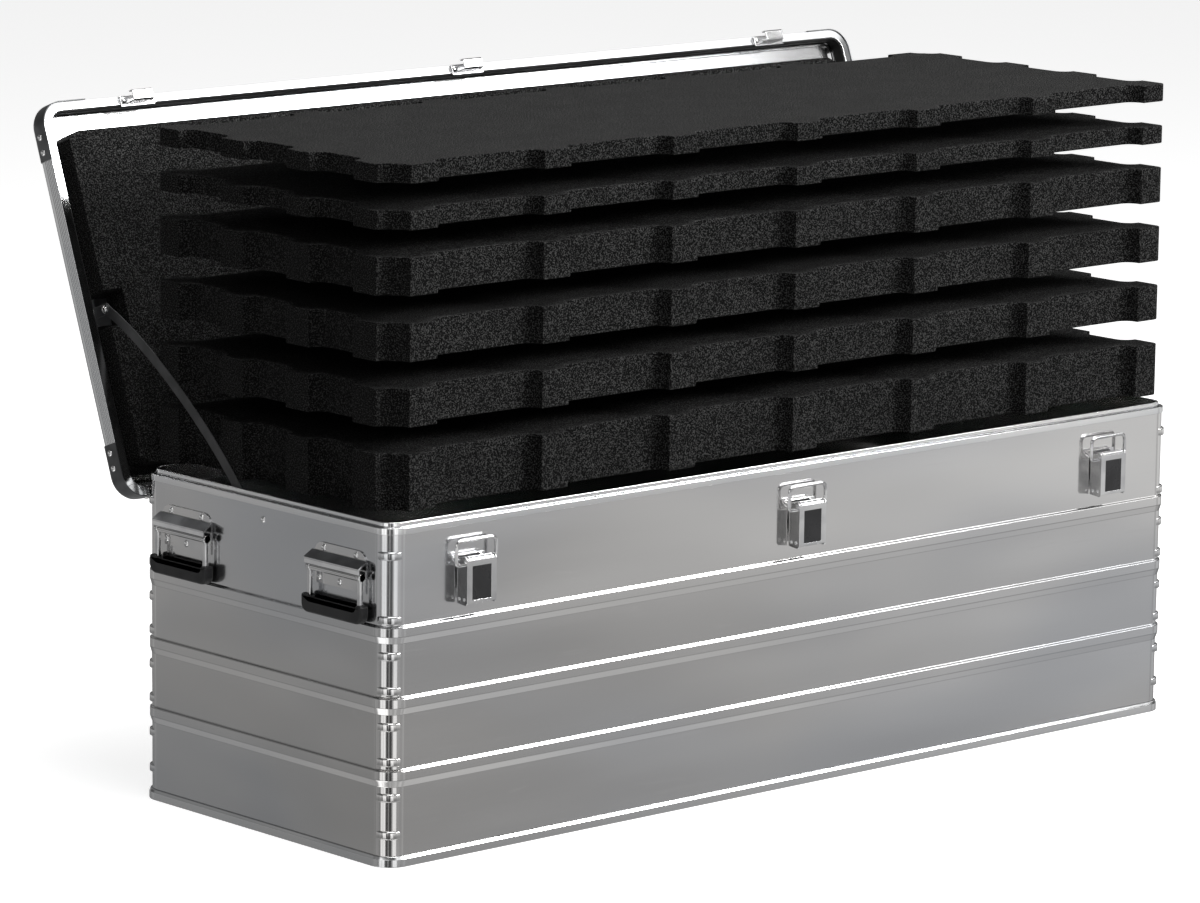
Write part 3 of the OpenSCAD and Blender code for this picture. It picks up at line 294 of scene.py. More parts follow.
def hairlines_group():
    """Hairline marks that run along the case, as rolling and handling leave them."""
    group, start, end = empty_tree("Hairlines", "ShaderNodeTree",
                                   (("Place", "Vector"), ("Density", "Float", 420.0)), (("Lines", "Float"),))
    given = start.outputs
    fine = stretched_noise(group, given["Place"], (0.02, 1.0, 1.0), given["Density"], 3.0)
    marks = stretched_noise(group, given["Place"], (0.5, 3.0, 6.0), 18.0, 4.0, 1.2)
    rare = ranged(group, marks, 0.62, 0.72)
    fill(group, end, {"Lines": total(group, product(group, fine, 0.5), product(group, rare, 0.5))})
    return group


def cells_group():
    """Open cells and crumbs on a cut foam face."""
    group, start, end = empty_tree(
        "Foam Cells", "ShaderNodeTree",
        (("Place", "Vector"), ("Cell Scale", "Float", 300.0), ("Cell Colour", "Color", (0.0, 0.0, 0.0, 1)),
         ("Skin Colour", "Color", (0.1, 0.1, 0.1, 1))), (("Tone", "Color"), ("Depth", "Float")))
    given = start.outputs
    grains = stretched_noise(group, given["Place"], EVEN, given["Cell Scale"], 2.5)
    spots = ranged(group, grains, 0.47, 0.66)
    wide = ranged(group, stretched_noise(group, given["Place"], EVEN, 26.0), 0.3, 0.7, 0.78, 1.0)
    cells = add(group, "ShaderNodeTexVoronoi", {"Vector": given["Place"], "Scale": given["Cell Scale"]})
    shade = product(group, spots, wide)
    fill(group, end, {
        "Tone": blended(group, shade, given["Cell Colour"], given["Skin Colour"]),
        "Depth": total(group, product(group, cells.outputs["Distance"], 0.5), grains)})
    return group


def grain_group():
    """Fine moulded grain of plastic and rubber."""
    group, start, end = empty_tree("Moulded Grain", "ShaderNodeTree",
                                   (("Place", "Vector"), ("Grain Scale", "Float", 1400.0)),
                                   (("Grain", "Float"), ("Handling", "Float")))
    given = start.outputs
    fill(group, end, {
        "Grain": stretched_noise(group, given["Place"], EVEN, given["Grain Scale"]),
        "Handling": ranged(group, stretched_noise(group, given["Place"], EVEN, 40.0, 3.0), 0.35, 0.7)})
    return group


def group_sockets(tree, maker, label, inputs=None):
    """Places a shared group in a material, on the object's own coordinates, and gives its outputs."""
    place = add(tree, "ShaderNodeTexCoord").outputs["Object"]
    return add(tree, "ShaderNodeGroup", {"Place": place, **(inputs or {})},
               node_tree=tree_named(label, maker)).outputs


# Finishes

# Each metal: material, pale and deep tone, roughness above the setting, patches for each metre (the
# sheet takes them from its setting), height of its waves and of its hairlines
METALS = {
    "sheet": ("sheet_aluminium", "sheet_pale", "sheet_deep", 0.0, None, 1.5, 0.003),
    "frame": ("drawn_aluminium", "frame_pale", "frame_deep", -0.02, 5.0, 0.08, 0.002),
    "steel": ("bright_steel", "steel_pale", "steel_deep", 0.01, 24.0, 0.01, 0.001),
    "rivet": ("rivet_metal", "frame_pale", "steel_pale", 0.0, 60.0, 0.0, 0.001),
    "plate": ("satin_plate", "sheet_pale", "sheet_deep", 0.05, 9.0, 0.1, 0.003),
}
# Each moulded finish: material, colour, roughness, grains for each metre, their depth, specular level
MOULDED = {
    "grip": ("grip_plastic", "plastic", 0.42, 1500.0, 0.08 * MM, 0.4),
    "label": ("label_plastic", "plastic", 0.3, 2600.0, 0.02 * MM, 0.4),
    "rubber": ("seal_rubber", "rubber", 0.6, 900.0, 0.05 * MM, 0.3),
    "strap": ("strap_plastic", "strap", 0.36, 1200.0, 0.04 * MM, 0.4),
}
made_finishes = {}


def principled(name, inputs):
    """A new material with its Principled shader; plain values go straight on the shader's sockets."""
    material = bpy.data.materials.new(name)
    material.use_nodes = True
    shader = material.node_tree.nodes["Principled BSDF"]
    fill(material.node_tree, shader, inputs)
    return material, material.node_tree, shader


def bump(tree, height, strength, distance):
    """The normal of a surface with this height."""
    return add(tree, "ShaderNodeBump", {
        "Height": height, "Strength": strength, "Distance": distance}).outputs["Normal"]


def metal(name, pale, deep, gloss, patch, wave, hair):
    """A bright metal: soft tone patches, partly painted blotchy reflections, slight waves and hairlines."""
    material, tree, shader = principled(name, {"Metallic": 1.0})
    patches = group_sockets(tree, patches_group, "Metal Patches",
                            {"Pale Tone": pale, "Deep Tone": deep, "Patch Scale": patch})
    lines = group_sockets(tree, hairlines_group, "Hairlines")["Lines"]
    height = total(tree, product(tree, patches["Waves"], wave), product(tree, lines, hair))
    fill(tree, shader, {
        "Base Color": patches["Tone"],
        "Roughness": total(tree, ranged(tree, patches["Patches"], 0.0, 1.0, gloss, gloss + 0.06),
                           product(tree, lines, 0.05)),
        "Normal": bump(tree, height, 1.0, MM)})
    return material


def grained(tree, shader, colours, rough, grain, strength, depth):
    """Grain with two colours and two roughnesses, from untouched to handled."""
    texture = group_sockets(tree, grain_group, "Moulded Grain", {"Grain Scale": grain})
    handled = texture["Handling"]
    fill(tree, shader, {
        "Base Color": blended(tree, handled, *colours), "Roughness": ranged(tree, handled, 0.0, 1.0, *rough),
        "Normal": bump(tree, texture["Grain"], strength, depth)})


def moulded(name, colour, rough, grain, depth, specular):
    """A matt moulded plastic or rubber with fine grain."""
    material, tree, shader = principled(name, {"Specular IOR Level": specular})
    paler = tuple(min(1.0, c * 1.5 + 0.002) for c in colour)
    grained(tree, shader, (colour, paler), (rough + 0.06, rough - 0.06), grain, 0.6, depth)
    return material


def dark_bracket():
    """The dark coated metal of the brackets."""
    material, tree, shader = principled("dark_bracket", {"Metallic": 0.6})
    colour = settings().metal.bracket
    grained(tree, shader, (colour, tuple(c * 1.6 for c in colour)), (0.38, 0.28), 700.0, 0.5, 0.06 * MM)
    return material


def cut_foam():
    """Closed-cell foam with its cells cut open."""
    look = settings().foam
    material, tree, shader = principled("cut_foam", {"Roughness": 0.95, "Specular IOR Level": 0.15})
    cells = group_sockets(tree, cells_group, "Foam Cells", {
        "Cell Scale": 1.0 / look.cell, "Cell Colour": look.dark, "Skin Colour": look.light})
    fill(tree, shader, {"Base Color": cells["Tone"], "Normal": bump(tree, cells["Depth"], 0.9, 0.8 * MM)})
    return material


def made_finish(name):
    """A new material for one entry of the finishes."""
    look = settings().metal
    if name in METALS:
        title, pale, deep, gloss, patch, wave, hair = METALS[name]
        return metal(title, getattr(look, pale), getattr(look, deep), look.gloss + gloss,
                     patch or look.patch, wave, hair)
    if name in MOULDED:
        title, colour, *rest = MOULDED[name]
        return moulded(title, getattr(look, colour), *rest)
    return {"bracket": dark_bracket, "foam": cut_foam}[name]()


def finish(name):
    """The named material, made on its first use."""
    if name not in made_finishes:
        made_finishes[name] = made_finish(name)
    return made_finishes[name]


# Shapes in section

# Shorter sides have no direction, and wider half angles count as straight
NO_LENGTH, STRAIGHT = 1e-9, math.radians(89)
# The most of a side that one corner's arc may take
ARC_SHARE = 0.49


def rounded(corners, steps=4):
    """Turns (x, z, radius) corners into points, each corner with an arc of its radius."""
    points = []
    count = len(corners)
    for i, (x, z, radius) in enumerate(corners):
        here = Vector((x, z))
        before = Vector(corners[i - 1][:2]) - here
        after = Vector(corners[(i + 1) % count][:2]) - here
        if radius <= 0 or min(before.length, after.length) < NO_LENGTH:
            points.append((x, z))
            continue
        before_way, after_way = before.normalized(), after.normalized()
        half = before_way.angle(after_way) / 2
        if half > STRAIGHT:
            points.append((x, z))
            continue
        reach = min(radius / math.tan(half), ARC_SHARE * before.length, ARC_SHARE * after.length)
        radius = reach * math.tan(half)
        centre = here + (before_way + after_way).normalized() * (radius / math.sin(half))
        first = here + before_way * reach - centre
        last = here + after_way * reach - centre
        sweep = first.angle_signed(last)
        for k in range(steps + 1):
            spoke = first.copy()
            spoke.rotate(Matrix.Rotation(-sweep * k / steps, 2))
            points.append(tuple(centre + spoke))
    return points


# Geometry Nodes trees

def geometry_tree(name, *inputs):
    """An empty Geometry Nodes tree with named inputs and a finish, and its input and output nodes."""
    return empty_tree(name, "GeometryNodeTree", (*inputs, ("Finish", "Material")),
                      (("Geometry", "Geometry"),))


def close_tree(tree, start, end, geometry):
    """Ends a tree with Realize Instances and Set Material."""
    real = add(tree, "GeometryNodeRealizeInstances", {0: geometry})
    coat = add(tree, "GeometryNodeSetMaterial",
               {"Geometry": real.outputs[0], "Material": start.outputs["Finish"]})
    fill(tree, end, {"Geometry": coat.outputs["Geometry"]})
    return tree


def sweep_tree():
    """A closed section carried round a rounded rectangle."""
    tree, start, end = geometry_tree(
        "Section Round A Rectangle", ("Section", "Geometry"), ("Length", "Float", 1.0),
        ("Width", "Float", 0.5), ("Corner Radius", "Float", 0.02), ("Corner Steps", "Int", 12))
    given = start.outputs
    path = add(tree, "GeometryNodeCurvePrimitiveQuadrilateral",
               {"Width": given["Length"], "Height": given["Width"]}, mode="RECTANGLE")
    corners = add(tree, "GeometryNodeFilletCurve", {
        "Curve": path.outputs["Curve"], "Count": given["Corner Steps"],
        "Radius": given["Corner Radius"]}, mode="POLY")
    upright = add(tree, "GeometryNodeSetCurveNormal", {"Curve": corners.outputs["Curve"]}, mode="Z_UP")
    section = add(tree, "GeometryNodeMeshToCurve", {"Mesh": given["Section"]})
    skin = add(tree, "GeometryNodeCurveToMesh",
               {"Curve": upright.outputs["Curve"], "Profile Curve": section.outputs["Curve"]})
    return close_tree(tree, start, end, skin.outputs["Mesh"])


def named_attribute(tree, name, kind):
    """The values of a named attribute."""
    return add(tree, "GeometryNodeInputNamedAttribute", {"Name": name}, data_type=kind).outputs["Attribute"]


def turned_copies_tree():
    """A pattern object copied onto points, each copy turned by the point's own angles."""
    tree, start, end = geometry_tree("Turned Copies", ("Points", "Geometry"), ("Pattern", "Object"))
    pattern = add(tree, "GeometryNodeObjectInfo", {"Object": start.outputs["Pattern"]})
    turn = add(tree, "FunctionNodeEulerToRotation", {"Euler": named_attribute(tree, "turn", "FLOAT_VECTOR")})
    copies = add(tree, "GeometryNodeInstanceOnPoints", {
        "Points": start.outputs["Points"], "Instance": pattern.outputs["Geometry"],
        "Rotation": turn.outputs["Rotation"]})
    return close_tree(tree, start, end, copies.outputs["Instances"])


def rivets_tree():
    """Domed rivet heads on points, each with its flatter tail behind the sheets it grips."""
    tree, start, end = geometry_tree(
        "Rivet Rows", ("Points", "Geometry"), ("Head Radius", "Float", 3.7 * MM),
        ("Head Height", "Float", 1.7 * MM), ("Tail Share", "Float", 0.8))
    given = start.outputs
    ball = add(tree, "GeometryNodeMeshUVSphere",
               {"Radius": given["Head Radius"], "Segments": 20, "Rings": 10})
    flatness = add(tree, "ShaderNodeMath", {0: given["Head Height"], 1: given["Head Radius"]},
                   operation="DIVIDE")
    squash = add(tree, "ShaderNodeCombineXYZ", {"X": 1.0, "Y": 1.0, "Z": flatness.outputs[0]})
    dome = add(tree, "GeometryNodeTransform", {"Geometry": ball.outputs["Mesh"], "Scale": squash.outputs[0]})
    facing = named_attribute(tree, "facing", "FLOAT_VECTOR")
    align = add(tree, "FunctionNodeAlignRotationToVector", {"Vector": facing})
    back = product(tree, named_attribute(tree, "grip", "FLOAT"), -1.0)
    inward = add(tree, "ShaderNodeVectorMath", {0: facing, "Scale": back}, operation="SCALE")
    behind = add(tree, "GeometryNodeSetPosition", {"Geometry": given["Points"], "Offset": inward.outputs[0]})
    both = add(tree, "GeometryNodeJoinGeometry")
    for points, share in ((given["Points"], EVEN), (behind.outputs["Geometry"], given["Tail Share"])):
        copies = add(tree, "GeometryNodeInstanceOnPoints", {
            "Points": points, "Instance": dome.outputs["Geometry"],
            "Rotation": align.outputs["Rotation"], "Scale": share})
        fill(tree, both, {"Geometry": copies.outputs["Instances"]})
    return close_tree(tree, start, end, both.outputs["Geometry"])


def wire_tree():
    """A round wire along a path, with closed ends."""
    tree, start, end = geometry_tree("Wire On A Path", ("Path", "Geometry"),
                                     ("Wire Radius", "Float", 2.0 * MM))
    path = add(tree, "GeometryNodeMeshToCurve", {"Mesh": start.outputs["Path"]})
    ring = add(tree, "GeometryNodeCurvePrimitiveCircle",
               {"Radius": start.outputs["Wire Radius"], "Resolution": 16})
    skin = add(tree, "GeometryNodeCurveToMesh", {
        "Curve": path.outputs["Curve"], "Profile Curve": ring.outputs["Curve"], "Fill Caps": True})
    return close_tree(tree, start, end, skin.outputs["Mesh"])


# Making and declaring pieces

# Merging of a CAD node's loose triangles: distance in metres, and angle between faces of one flat
NODE_MERGE, FLAT_ANGLE = 2e-6, math.radians(0.6)
# Shares of the soft edge on leaves, on pins and thin plates, and on label plates
LEAF_EDGE, THIN_EDGE, LABEL_EDGE = 0.7, 0.6, 0.4
# Only edges that turn by more degrees than this are rounded on grips and keepers
CORNER_DEGREES = 50.0


def link(mesh, name):
    """A new object for a mesh, in the scene and at the origin."""
    piece = bpy.data.objects.new(name, mesh)
    bpy.context.scene.collection.objects.link(piece)
    return piece


def final_mesh(piece):
    """The piece's mesh with its modifiers applied."""
    graph = bpy.context.evaluated_depsgraph_get()
    return bpy.data.meshes.new_from_object(piece.evaluated_get(graph), depsgraph=graph)


def applied(piece):
    """The piece with its modifiers turned into plain mesh."""
    mesh = final_mesh(piece)
    piece.modifiers.clear()
    piece.data = mesh
    return piece


def written(work, mesh):
    """Writes a finished edit to its mesh."""
    work.to_mesh(mesh)
    work.free()
    return mesh


def skin_mesh(name, rows, capped=True):
    """A mesh from rows of points: faces from each row to the next, and one on both ends."""
    count = len(rows[0])
    last = (len(rows) - 1) * count
    faces = [(k + j, k + count + j, k + count + (j + 1) % count, k + (j + 1) % count)
             for k in range(0, last, count) for j in range(count)]
    if capped:
        faces += [tuple(range(count)), tuple(range(last, last + count))]
    mesh = bpy.data.meshes.new(name)
    mesh.from_pydata([spot for row in rows for spot in row], [], faces)
    return mesh


def bar_mesh(section, width, at):
    """A bar of one section; at() turns (along, outward, up) into a spot."""
    return skin_mesh("bar", [[at(along, out, up) for out, up in section]
                             for along in (-width / 2, width / 2)])


def joined(name, meshes):
    """Several meshes as one."""
    work = bmesh.new()
    for mesh in meshes:
        work.from_mesh(mesh)
    return written(work, bpy.data.meshes.new(name))


def coated(piece, look):
    """Gives the whole piece one finish."""
    piece.data.materials.clear()
    piece.data.materials.append(finish(look))
    for face in piece.data.polygons:
        face.material_index = 0
    return piece


def grown(name, mesh, label, maker, look, values):
    """Runs a shared node tree on a mesh and gives a plain object with the result, in one finish."""
    tree = tree_named(label, maker)
    values = {**values, "Finish": finish(look)}
    carrier = link(mesh, name + "_seed")
    modifier = carrier.modifiers.new("shape", "NODES")
    modifier.node_group = tree
    for item in tree.interface.items_tree:
        if item.item_type == "SOCKET" and item.in_out == "INPUT" and item.name in values:
            modifier[item.identifier] = values[item.name]
    result = final_mesh(carrier)
    carrier.modifiers.clear()
    bpy.data.objects.remove(carrier)
    if not result.polygons:
        raise RuntimeError(name + " came out empty")
    return coated(link(result, name), look)


def smooth(piece, degrees=32.0):
    """Smooth faces with sharp edges where the surface turns more."""
    piece.data.shade_smooth()
    piece.data.set_sharp_from_angle(angle=math.radians(degrees))
    return piece


def flat_kept(piece):
    """Leans the shading to the broad faces, so that flats stay flat up to their rounded edges."""
    modifier = piece.modifiers.new("facing", "WEIGHTED_NORMAL")
    modifier.keep_sharp = True
    modifier.weight = 50
    return applied(piece)


def repaired(piece, merge=1e-6):
    """Merges doubles and turns every face outward."""
    work = bmesh.new()
    work.from_mesh(piece.data)
    bmesh.ops.remove_doubles(work, verts=work.verts, dist=merge)
    bmesh.ops.dissolve_degenerate(work, edges=work.edges, dist=merge)
    bmesh.ops.recalc_face_normals(work, faces=work.faces)
    written(work, piece.data)
    return piece


def bevelled(piece, width, segments=2, degrees=30.0):
    """Rounds the piece's edges and applies the change."""
    modifier = piece.modifiers.new("edges", "BEVEL")
    modifier.width = width
    modifier.segments = segments
    modifier.limit_method = "ANGLE"
    modifier.angle_limit = math.radians(degrees)
    modifier.use_clamp_overlap = False
    modifier.miter_outer = "MITER_ARC"
    return applied(piece)


def declare(piece, body, slot, *nodes):
    """Says what a piece rides on and hides the CAD nodes it stands for. The slot is not used."""
    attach(piece, body)
    if nodes:
        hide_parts(*nodes)
    return piece


def keep(node, look):
    """A CAD node whose shape is right gets its finish."""
    coated(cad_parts[node], look)


def fitting(node, name, body, slot, width, look=None, segments=2):
    """Stands for a CAD node: its copy, with loose triangles merged and edges rounded."""
    piece = link(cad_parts[node].data.copy(), name)
    work = bmesh.new()
    work.from_mesh(piece.data)
    bmesh.ops.remove_doubles(work, verts=work.verts, dist=NODE_MERGE)
    bmesh.ops.recalc_face_normals(work, faces=work.faces)
    bmesh.ops.dissolve_limit(work, angle_limit=FLAT_ANGLE, verts=work.verts, edges=work.edges)
    written(work, piece.data)
    coated(bevelled(piece, width, segments), look or slot)
    return declare(flat_kept(smooth(piece, 40.0)), body, slot, node)


def section_mesh(points):
    """A closed loop of edges for a section of (outward, up) points."""
    count = len(points)
    mesh = bpy.data.meshes.new("section")
    mesh.from_pydata([(x, -z, 0.0) for x, z in points], [(i, (i + 1) % count) for i in range(count)], [])
    return mesh


def swept(name, points, around, look, steps=14):
    """A closed section carried round the body or the lid, smooth and facing outward."""
    piece = grown(name, section_mesh(points), "Section Round A Rectangle", sweep_tree, look, {
        "Length": around.length, "Width": around.width, "Corner Radius": around.corner,
        "Corner Steps": steps})
    return flat_kept(smooth(repaired(piece)))


def lid_matrix():
    """Turns a piece, drawn shut, to the open lid."""
    lid = settings().lid
    hinge = Vector((0.0, lid.hinge_y, lid.hinge_z))
    return (Matrix.Translation(hinge) @ Matrix.Rotation(-lid.opening, 4, "X")
            @ Matrix.Translation(-hinge))


# Body, base and rim. Sections are (outward, up, corner radius)

BAND_HEIGHTS = mm(95, 172, 247.5)
WALL_LOW, WALL_TOP_DROP = mm(3.5, 4)
BAND_SHOULDER, BAND_FOOT = mm(2.7, 6.9)
# A band's crease: drops below the band's top, and shares of its depth
BAND_CREASE = mm(1.75, 0.95)
CREASE_DEPTHS = (0.77, 0.23)
SHEET_LEAN = 0.5 * MM
RING_HEIGHTS = mm(34, 74, 112, 149.5, 187.5, 224.5, 262.5, 330.5)
RING_ROOT = 4 * MM
RING_STEPS = 36
RING_REACH = math.radians(66)
RING_MIDDLE = math.radians(45)
# The four corners, counter-clockwise from the one between +X and +Y
CORNERS = ((1, 1), (-1, 1), (-1, -1), (1, -1))
# The base rail's leg under the floor sheet, and the drop and depth of its chamfer
LEG_DEPTH, LEG_LOW, LEG_HIGH = mm(15, 1.5, 3.5)
CHAMFER_DROP, CHAMFER_IN = mm(3.2, 1.6)
# The rim's inner leg, with its heights from the rim's top
RIM_LEG = (mm(-7.5, -15, 1), mm(-3.5, -17, 1.5), mm(-3.5, -27, 0.5), mm(-1.5, -27, 0), mm(-1.5, -4, 0),
           mm(0, -4, 0))


def wall_section(body):
    """The wall with its pressed bands: a creased upper shoulder and a soft lower one."""
    half, deep = body.bead_height / 2, body.bead_depth
    corners = [(0.0, WALL_LOW, 0.0)]
    for z in BAND_HEIGHTS:
        foot = 0.0 if z == BAND_HEIGHTS[0] else SHEET_LEAN
        top = z + half
        corners += [(foot, z - half, 3.0 * MM), (deep, z - half + BAND_FOOT, 5.0 * MM),
                    (deep, top - BAND_SHOULDER, 0.8 * MM)]
        corners += [(deep * share, top - drop, 0.2 * MM) for share, drop in zip(CREASE_DEPTHS, BAND_CREASE)]
        corners.append((0.0, top, 0.5 * MM))
    corners.append((0.0, body.height - WALL_TOP_DROP, 0.0))
    outer = rounded(corners, 5)
    return outer + [(x - body.wall, z) for x, z in reversed(outer)]


def make_body_walls():
    """The walls with their bands."""
    body = settings().body
    declare(swept("body_walls", wall_section(body), body, "sheet", 18), "case", "sheet", "body_shell")


def ring_pattern(body):
    """One ring of the corner that faces +X and +Y, seen from the corner's centre."""
    half = body.ring_height / 2
    profile = rounded([(-RING_ROOT, -half, 0.0), (0.0, -half, 1.4 * MM), (0.0, half, 3.4 * MM),
                       (-RING_ROOT, half, 0.0)], 6)
    inner = body.corner - body.wall / 2
    centre = Vector((body.ring_out, 0.0)) @ Matrix.Rotation(-RING_MIDDLE, 2)
    rows = []
    for k in range(RING_STEPS + 1):
        angle = RING_MIDDLE - RING_REACH + 2 * RING_REACH * k / RING_STEPS
        way = Vector((math.cos(angle), math.sin(angle)))
        spots = [(centre + way * (body.ring_radius + inset), z) for inset, z in profile]
        rows.append([(*(spot.normalized() * max(inner, spot.length)), z) for spot, z in spots])
    return repaired(link(skin_mesh("ring", rows, capped=False), "ring_pattern"), 1e-5)


def points_mesh(spots, **attributes):
    """A mesh of loose points with named attributes: vectors as FLOAT_VECTOR, numbers as FLOAT."""
    mesh = bpy.data.meshes.new("points")
    mesh.from_pydata(spots, [], [])
    for name, values in attributes.items():
        vector = hasattr(values[0], "__len__")
        layer = mesh.attributes.new(name, "FLOAT_VECTOR" if vector else "FLOAT", "POINT")
        for item, value in zip(layer.data, values):
            setattr(item, "vector" if vector else "value", value)
    return mesh


def make_corner_rings():
    """The rings on the corners, one pattern turned to each corner and height."""
    body = settings().body
    pattern = ring_pattern(body)
    x, y = body.length / 2 - body.corner, body.width / 2 - body.corner
    spots = [(sx * x, sy * y, z) for sx, sy in CORNERS for z in RING_HEIGHTS]
    turns = [(0.0, 0.0, math.radians(90 * turn)) for turn in range(len(CORNERS)) for _ in RING_HEIGHTS]
    piece = grown("corner_rings", points_mesh(spots, turn=turns), "Turned Copies", turned_copies_tree,
                  "sheet", {"Pattern": pattern})
    bpy.data.objects.remove(pattern)
    declare(smooth(repaired(piece), 45.0), "case", "sheet", "body_shell")


def make_base():
    """The base rail round the walls, and the floor sheet."""
    body = settings().body
    out, top = body.base_proud, body.base_height
    section = rounded([(-LEG_DEPTH, LEG_LOW, 0.0), (0.0, LEG_LOW, 0.0), (0.0, 0.0, 0.0),
                       (out, 0.0, 0.8 * MM), (out, top - CHAMFER_DROP, 1.0 * MM),
                       (out - CHAMFER_IN, top, 1.0 * MM), (0.0, top, 0.0), (0.0, LEG_HIGH, 0.0),
                       (-LEG_DEPTH, LEG_HIGH, 0.4 * MM)])
    declare(swept("base_rail", section, body, "frame"), "case", "frame", "base_frame")
    keep("floor_panel", "sheet")


def make_rim():
    """The rim rail: its outer band, a shallow groove, the inner lip and the leg inside the wall."""
    body = settings().body
    out, band, lip = body.rim_proud, -body.rim_band, body.lip_height
    groove, lip_out, lip_in = mm(-3, -4.5, -7.5)
    section = rounded([(0.0, band, 0.0), (out, band, 0.4 * MM), (out, 0.0, 0.9 * MM), (groove, 0.0, 0.7 * MM),
                       (groove, groove, 0.5 * MM), (lip_out, groove, 0.5 * MM), (lip_out, lip, 1.0 * MM),
                       (lip_in, lip, 1.0 * MM), *RIM_LEG])
    section = [(x, z + body.height) for x, z in section]
    declare(swept("rim_rail", section, body, "frame", 16), "case", "frame", "rim_frame")


# Lid

RIB_START, RIB_END_DROP, FLANGE_UP, FLANGE_IN = mm(2.4, 1.2, 22, 15)
# Shares of a rib's pitch where its low and its high part start and end
LOW_END, HIGH_START, HIGH_END = 0.22, 0.42, 0.8
# The seal's section, from the frame's inner face and the shut lid's rim
SEAL_SECTION = (mm(0, 1.5, 0), mm(-1.2, 1.5, 0.5), mm(-2, 4.5, 1.2), mm(-2, 16, 0.6), mm(0, 16, 0))


def lid_frame_section(lid):
    """The lid's hollow frame from outside: a finely ribbed side, a round edge and a flange."""
    low, high = RIB_START, lid.side - RIB_END_DROP
    count = int((high - low) / lid.rib_pitch)
    step = (high - low) / count
    ribs = []
    for z in ((high - low) * k / count + low for k in range(count)):
        ribs += [(-lid.rib_depth, z, 0.2 * MM), (-lid.rib_depth, z + LOW_END * step, 0.2 * MM),
                 (0.0, z + HIGH_START * step, 0.3 * MM), (0.0, z + HIGH_END * step, 0.3 * MM)]
    side = rounded([(0.0, 0.0, 0.9 * MM), *ribs, (0.0, high, 0.0)], 2)
    edge = [(-lid.edge + lid.edge * math.cos(a), lid.side + lid.edge * math.sin(a))
            for a in (math.radians(90) * k / 10 for k in range(11))]
    inner = rounded([(-FLANGE_IN, lid.side + lid.edge, 0.6 * MM), (-FLANGE_IN, FLANGE_UP, 0.0),
                     (-lid.land, FLANGE_UP, 0.0), (-lid.land, 0.0, 0.9 * MM), (0.0, 0.0, 0.0)], 3)[:-1]
    return side + edge + inner


def swept_on_lid(name, points, slot, steps, node):
    """A section round the shut lid, with heights from its rim, turned open with it."""
    lid = settings().lid
    piece = swept(name, [(x, z + lid.rim_height) for x, z in points], lid, slot, steps)
    piece.data.transform(lid_matrix())
    declare(piece, "lid", slot, node)


def make_lid_frame():
    """The lid's frame, and its panel."""
    swept_on_lid("lid_rail", lid_frame_section(settings().lid), "frame", 18, "lid_frame")
    keep("lid_panel", "sheet")


def make_lid_seal():
    """The rubber seal inside the frame."""
    points = [(x - settings().lid.land, z) for x, z in rounded(SEAL_SECTION)]
    swept_on_lid("lid_seal_lip", points, "rubber", 14, "lid_seal")


def make_lid_brackets():
    """The four corner brackets."""
    fitting("lid_corner_brackets", "corner_brackets", "lid", "bracket", settings().fittings.soft_edge)


def make_hinges():
    """The hinge leaves, and their pins."""
    edge = settings().fittings.soft_edge * LEAF_EDGE
    fitting("hinge_body_leaves", "body_leaves", "case", "steel", edge)
    fitting("hinge_lid_leaves", "lid_leaves", "lid", "steel", edge)
    keep("hinge_pins", "steel")


# Rivets

# A handle plate's rows: height, and places beside the handle's middle
HANDLE_RIVETS = ((325.7 * MM, mm(-26.25, 26.25)), (293.2 * MM, mm(-33.8, 0, 33.8)))
RIM_RIVET_DROP = 21 * MM
# Places beside a latch's or hinge's middle, and heights
LATCH_RIVETS, LATCH_RIVET_HEIGHTS = mm(-10, 10), mm(278.5, 303.5)
HINGES, HINGE_RIVETS, HINGE_RIVET_HEIGHT = mm(-430, 0, 430), mm(-30, 0, 30), 325.3 * MM
KEEPER_RIVETS = mm(-18.75, 18.75)
BRACKET_RIVETS, BRACKET_RIVET_UP = mm(35, 52), 12.5 * MM
# Distance of rivets from the lid's side, and from its rim
LID_RIVET_IN, LID_RIVET_DOWN = mm(5, 1.5)
# Thickness of the fittings under the heads, and the distance from head to tail
THIN_PLATE, PLATE = mm(1.2, 1.5)
THIN_GRIP, GRIP, RIM_GRIP = mm(2.7, 3, 3.5)


def wall_rivets():
    """Places, facings and grips of the rivets that ride on the case."""
    body, fit = settings().body, settings().fittings
    end, face = body.length / 2, body.width / 2
    rows = []
    for side in (-1, 1):
        out = (side, 0.0, 0.0)
        rows += [((side * (end + PLATE), middle + t, z), out, GRIP)
                 for middle in (-fit.handle_spread, fit.handle_spread)
                 for z, places in HANDLE_RIVETS for t in places]
        rows.append(((side * end, 0.0, body.height - RIM_RIVET_DROP), out, RIM_GRIP))
    rows += [((at * fit.latch_spread + dx, -face - THIN_PLATE, z), (0.0, -1.0, 0.0), THIN_GRIP)
             for at in LATCHES.values() for dx in LATCH_RIVETS for z in LATCH_RIVET_HEIGHTS]
    rows += [((x + dx, face + PLATE, HINGE_RIVET_HEIGHT), (0.0, 1.0, 0.0), GRIP)
             for x in HINGES for dx in HINGE_RIVETS]
    return rows


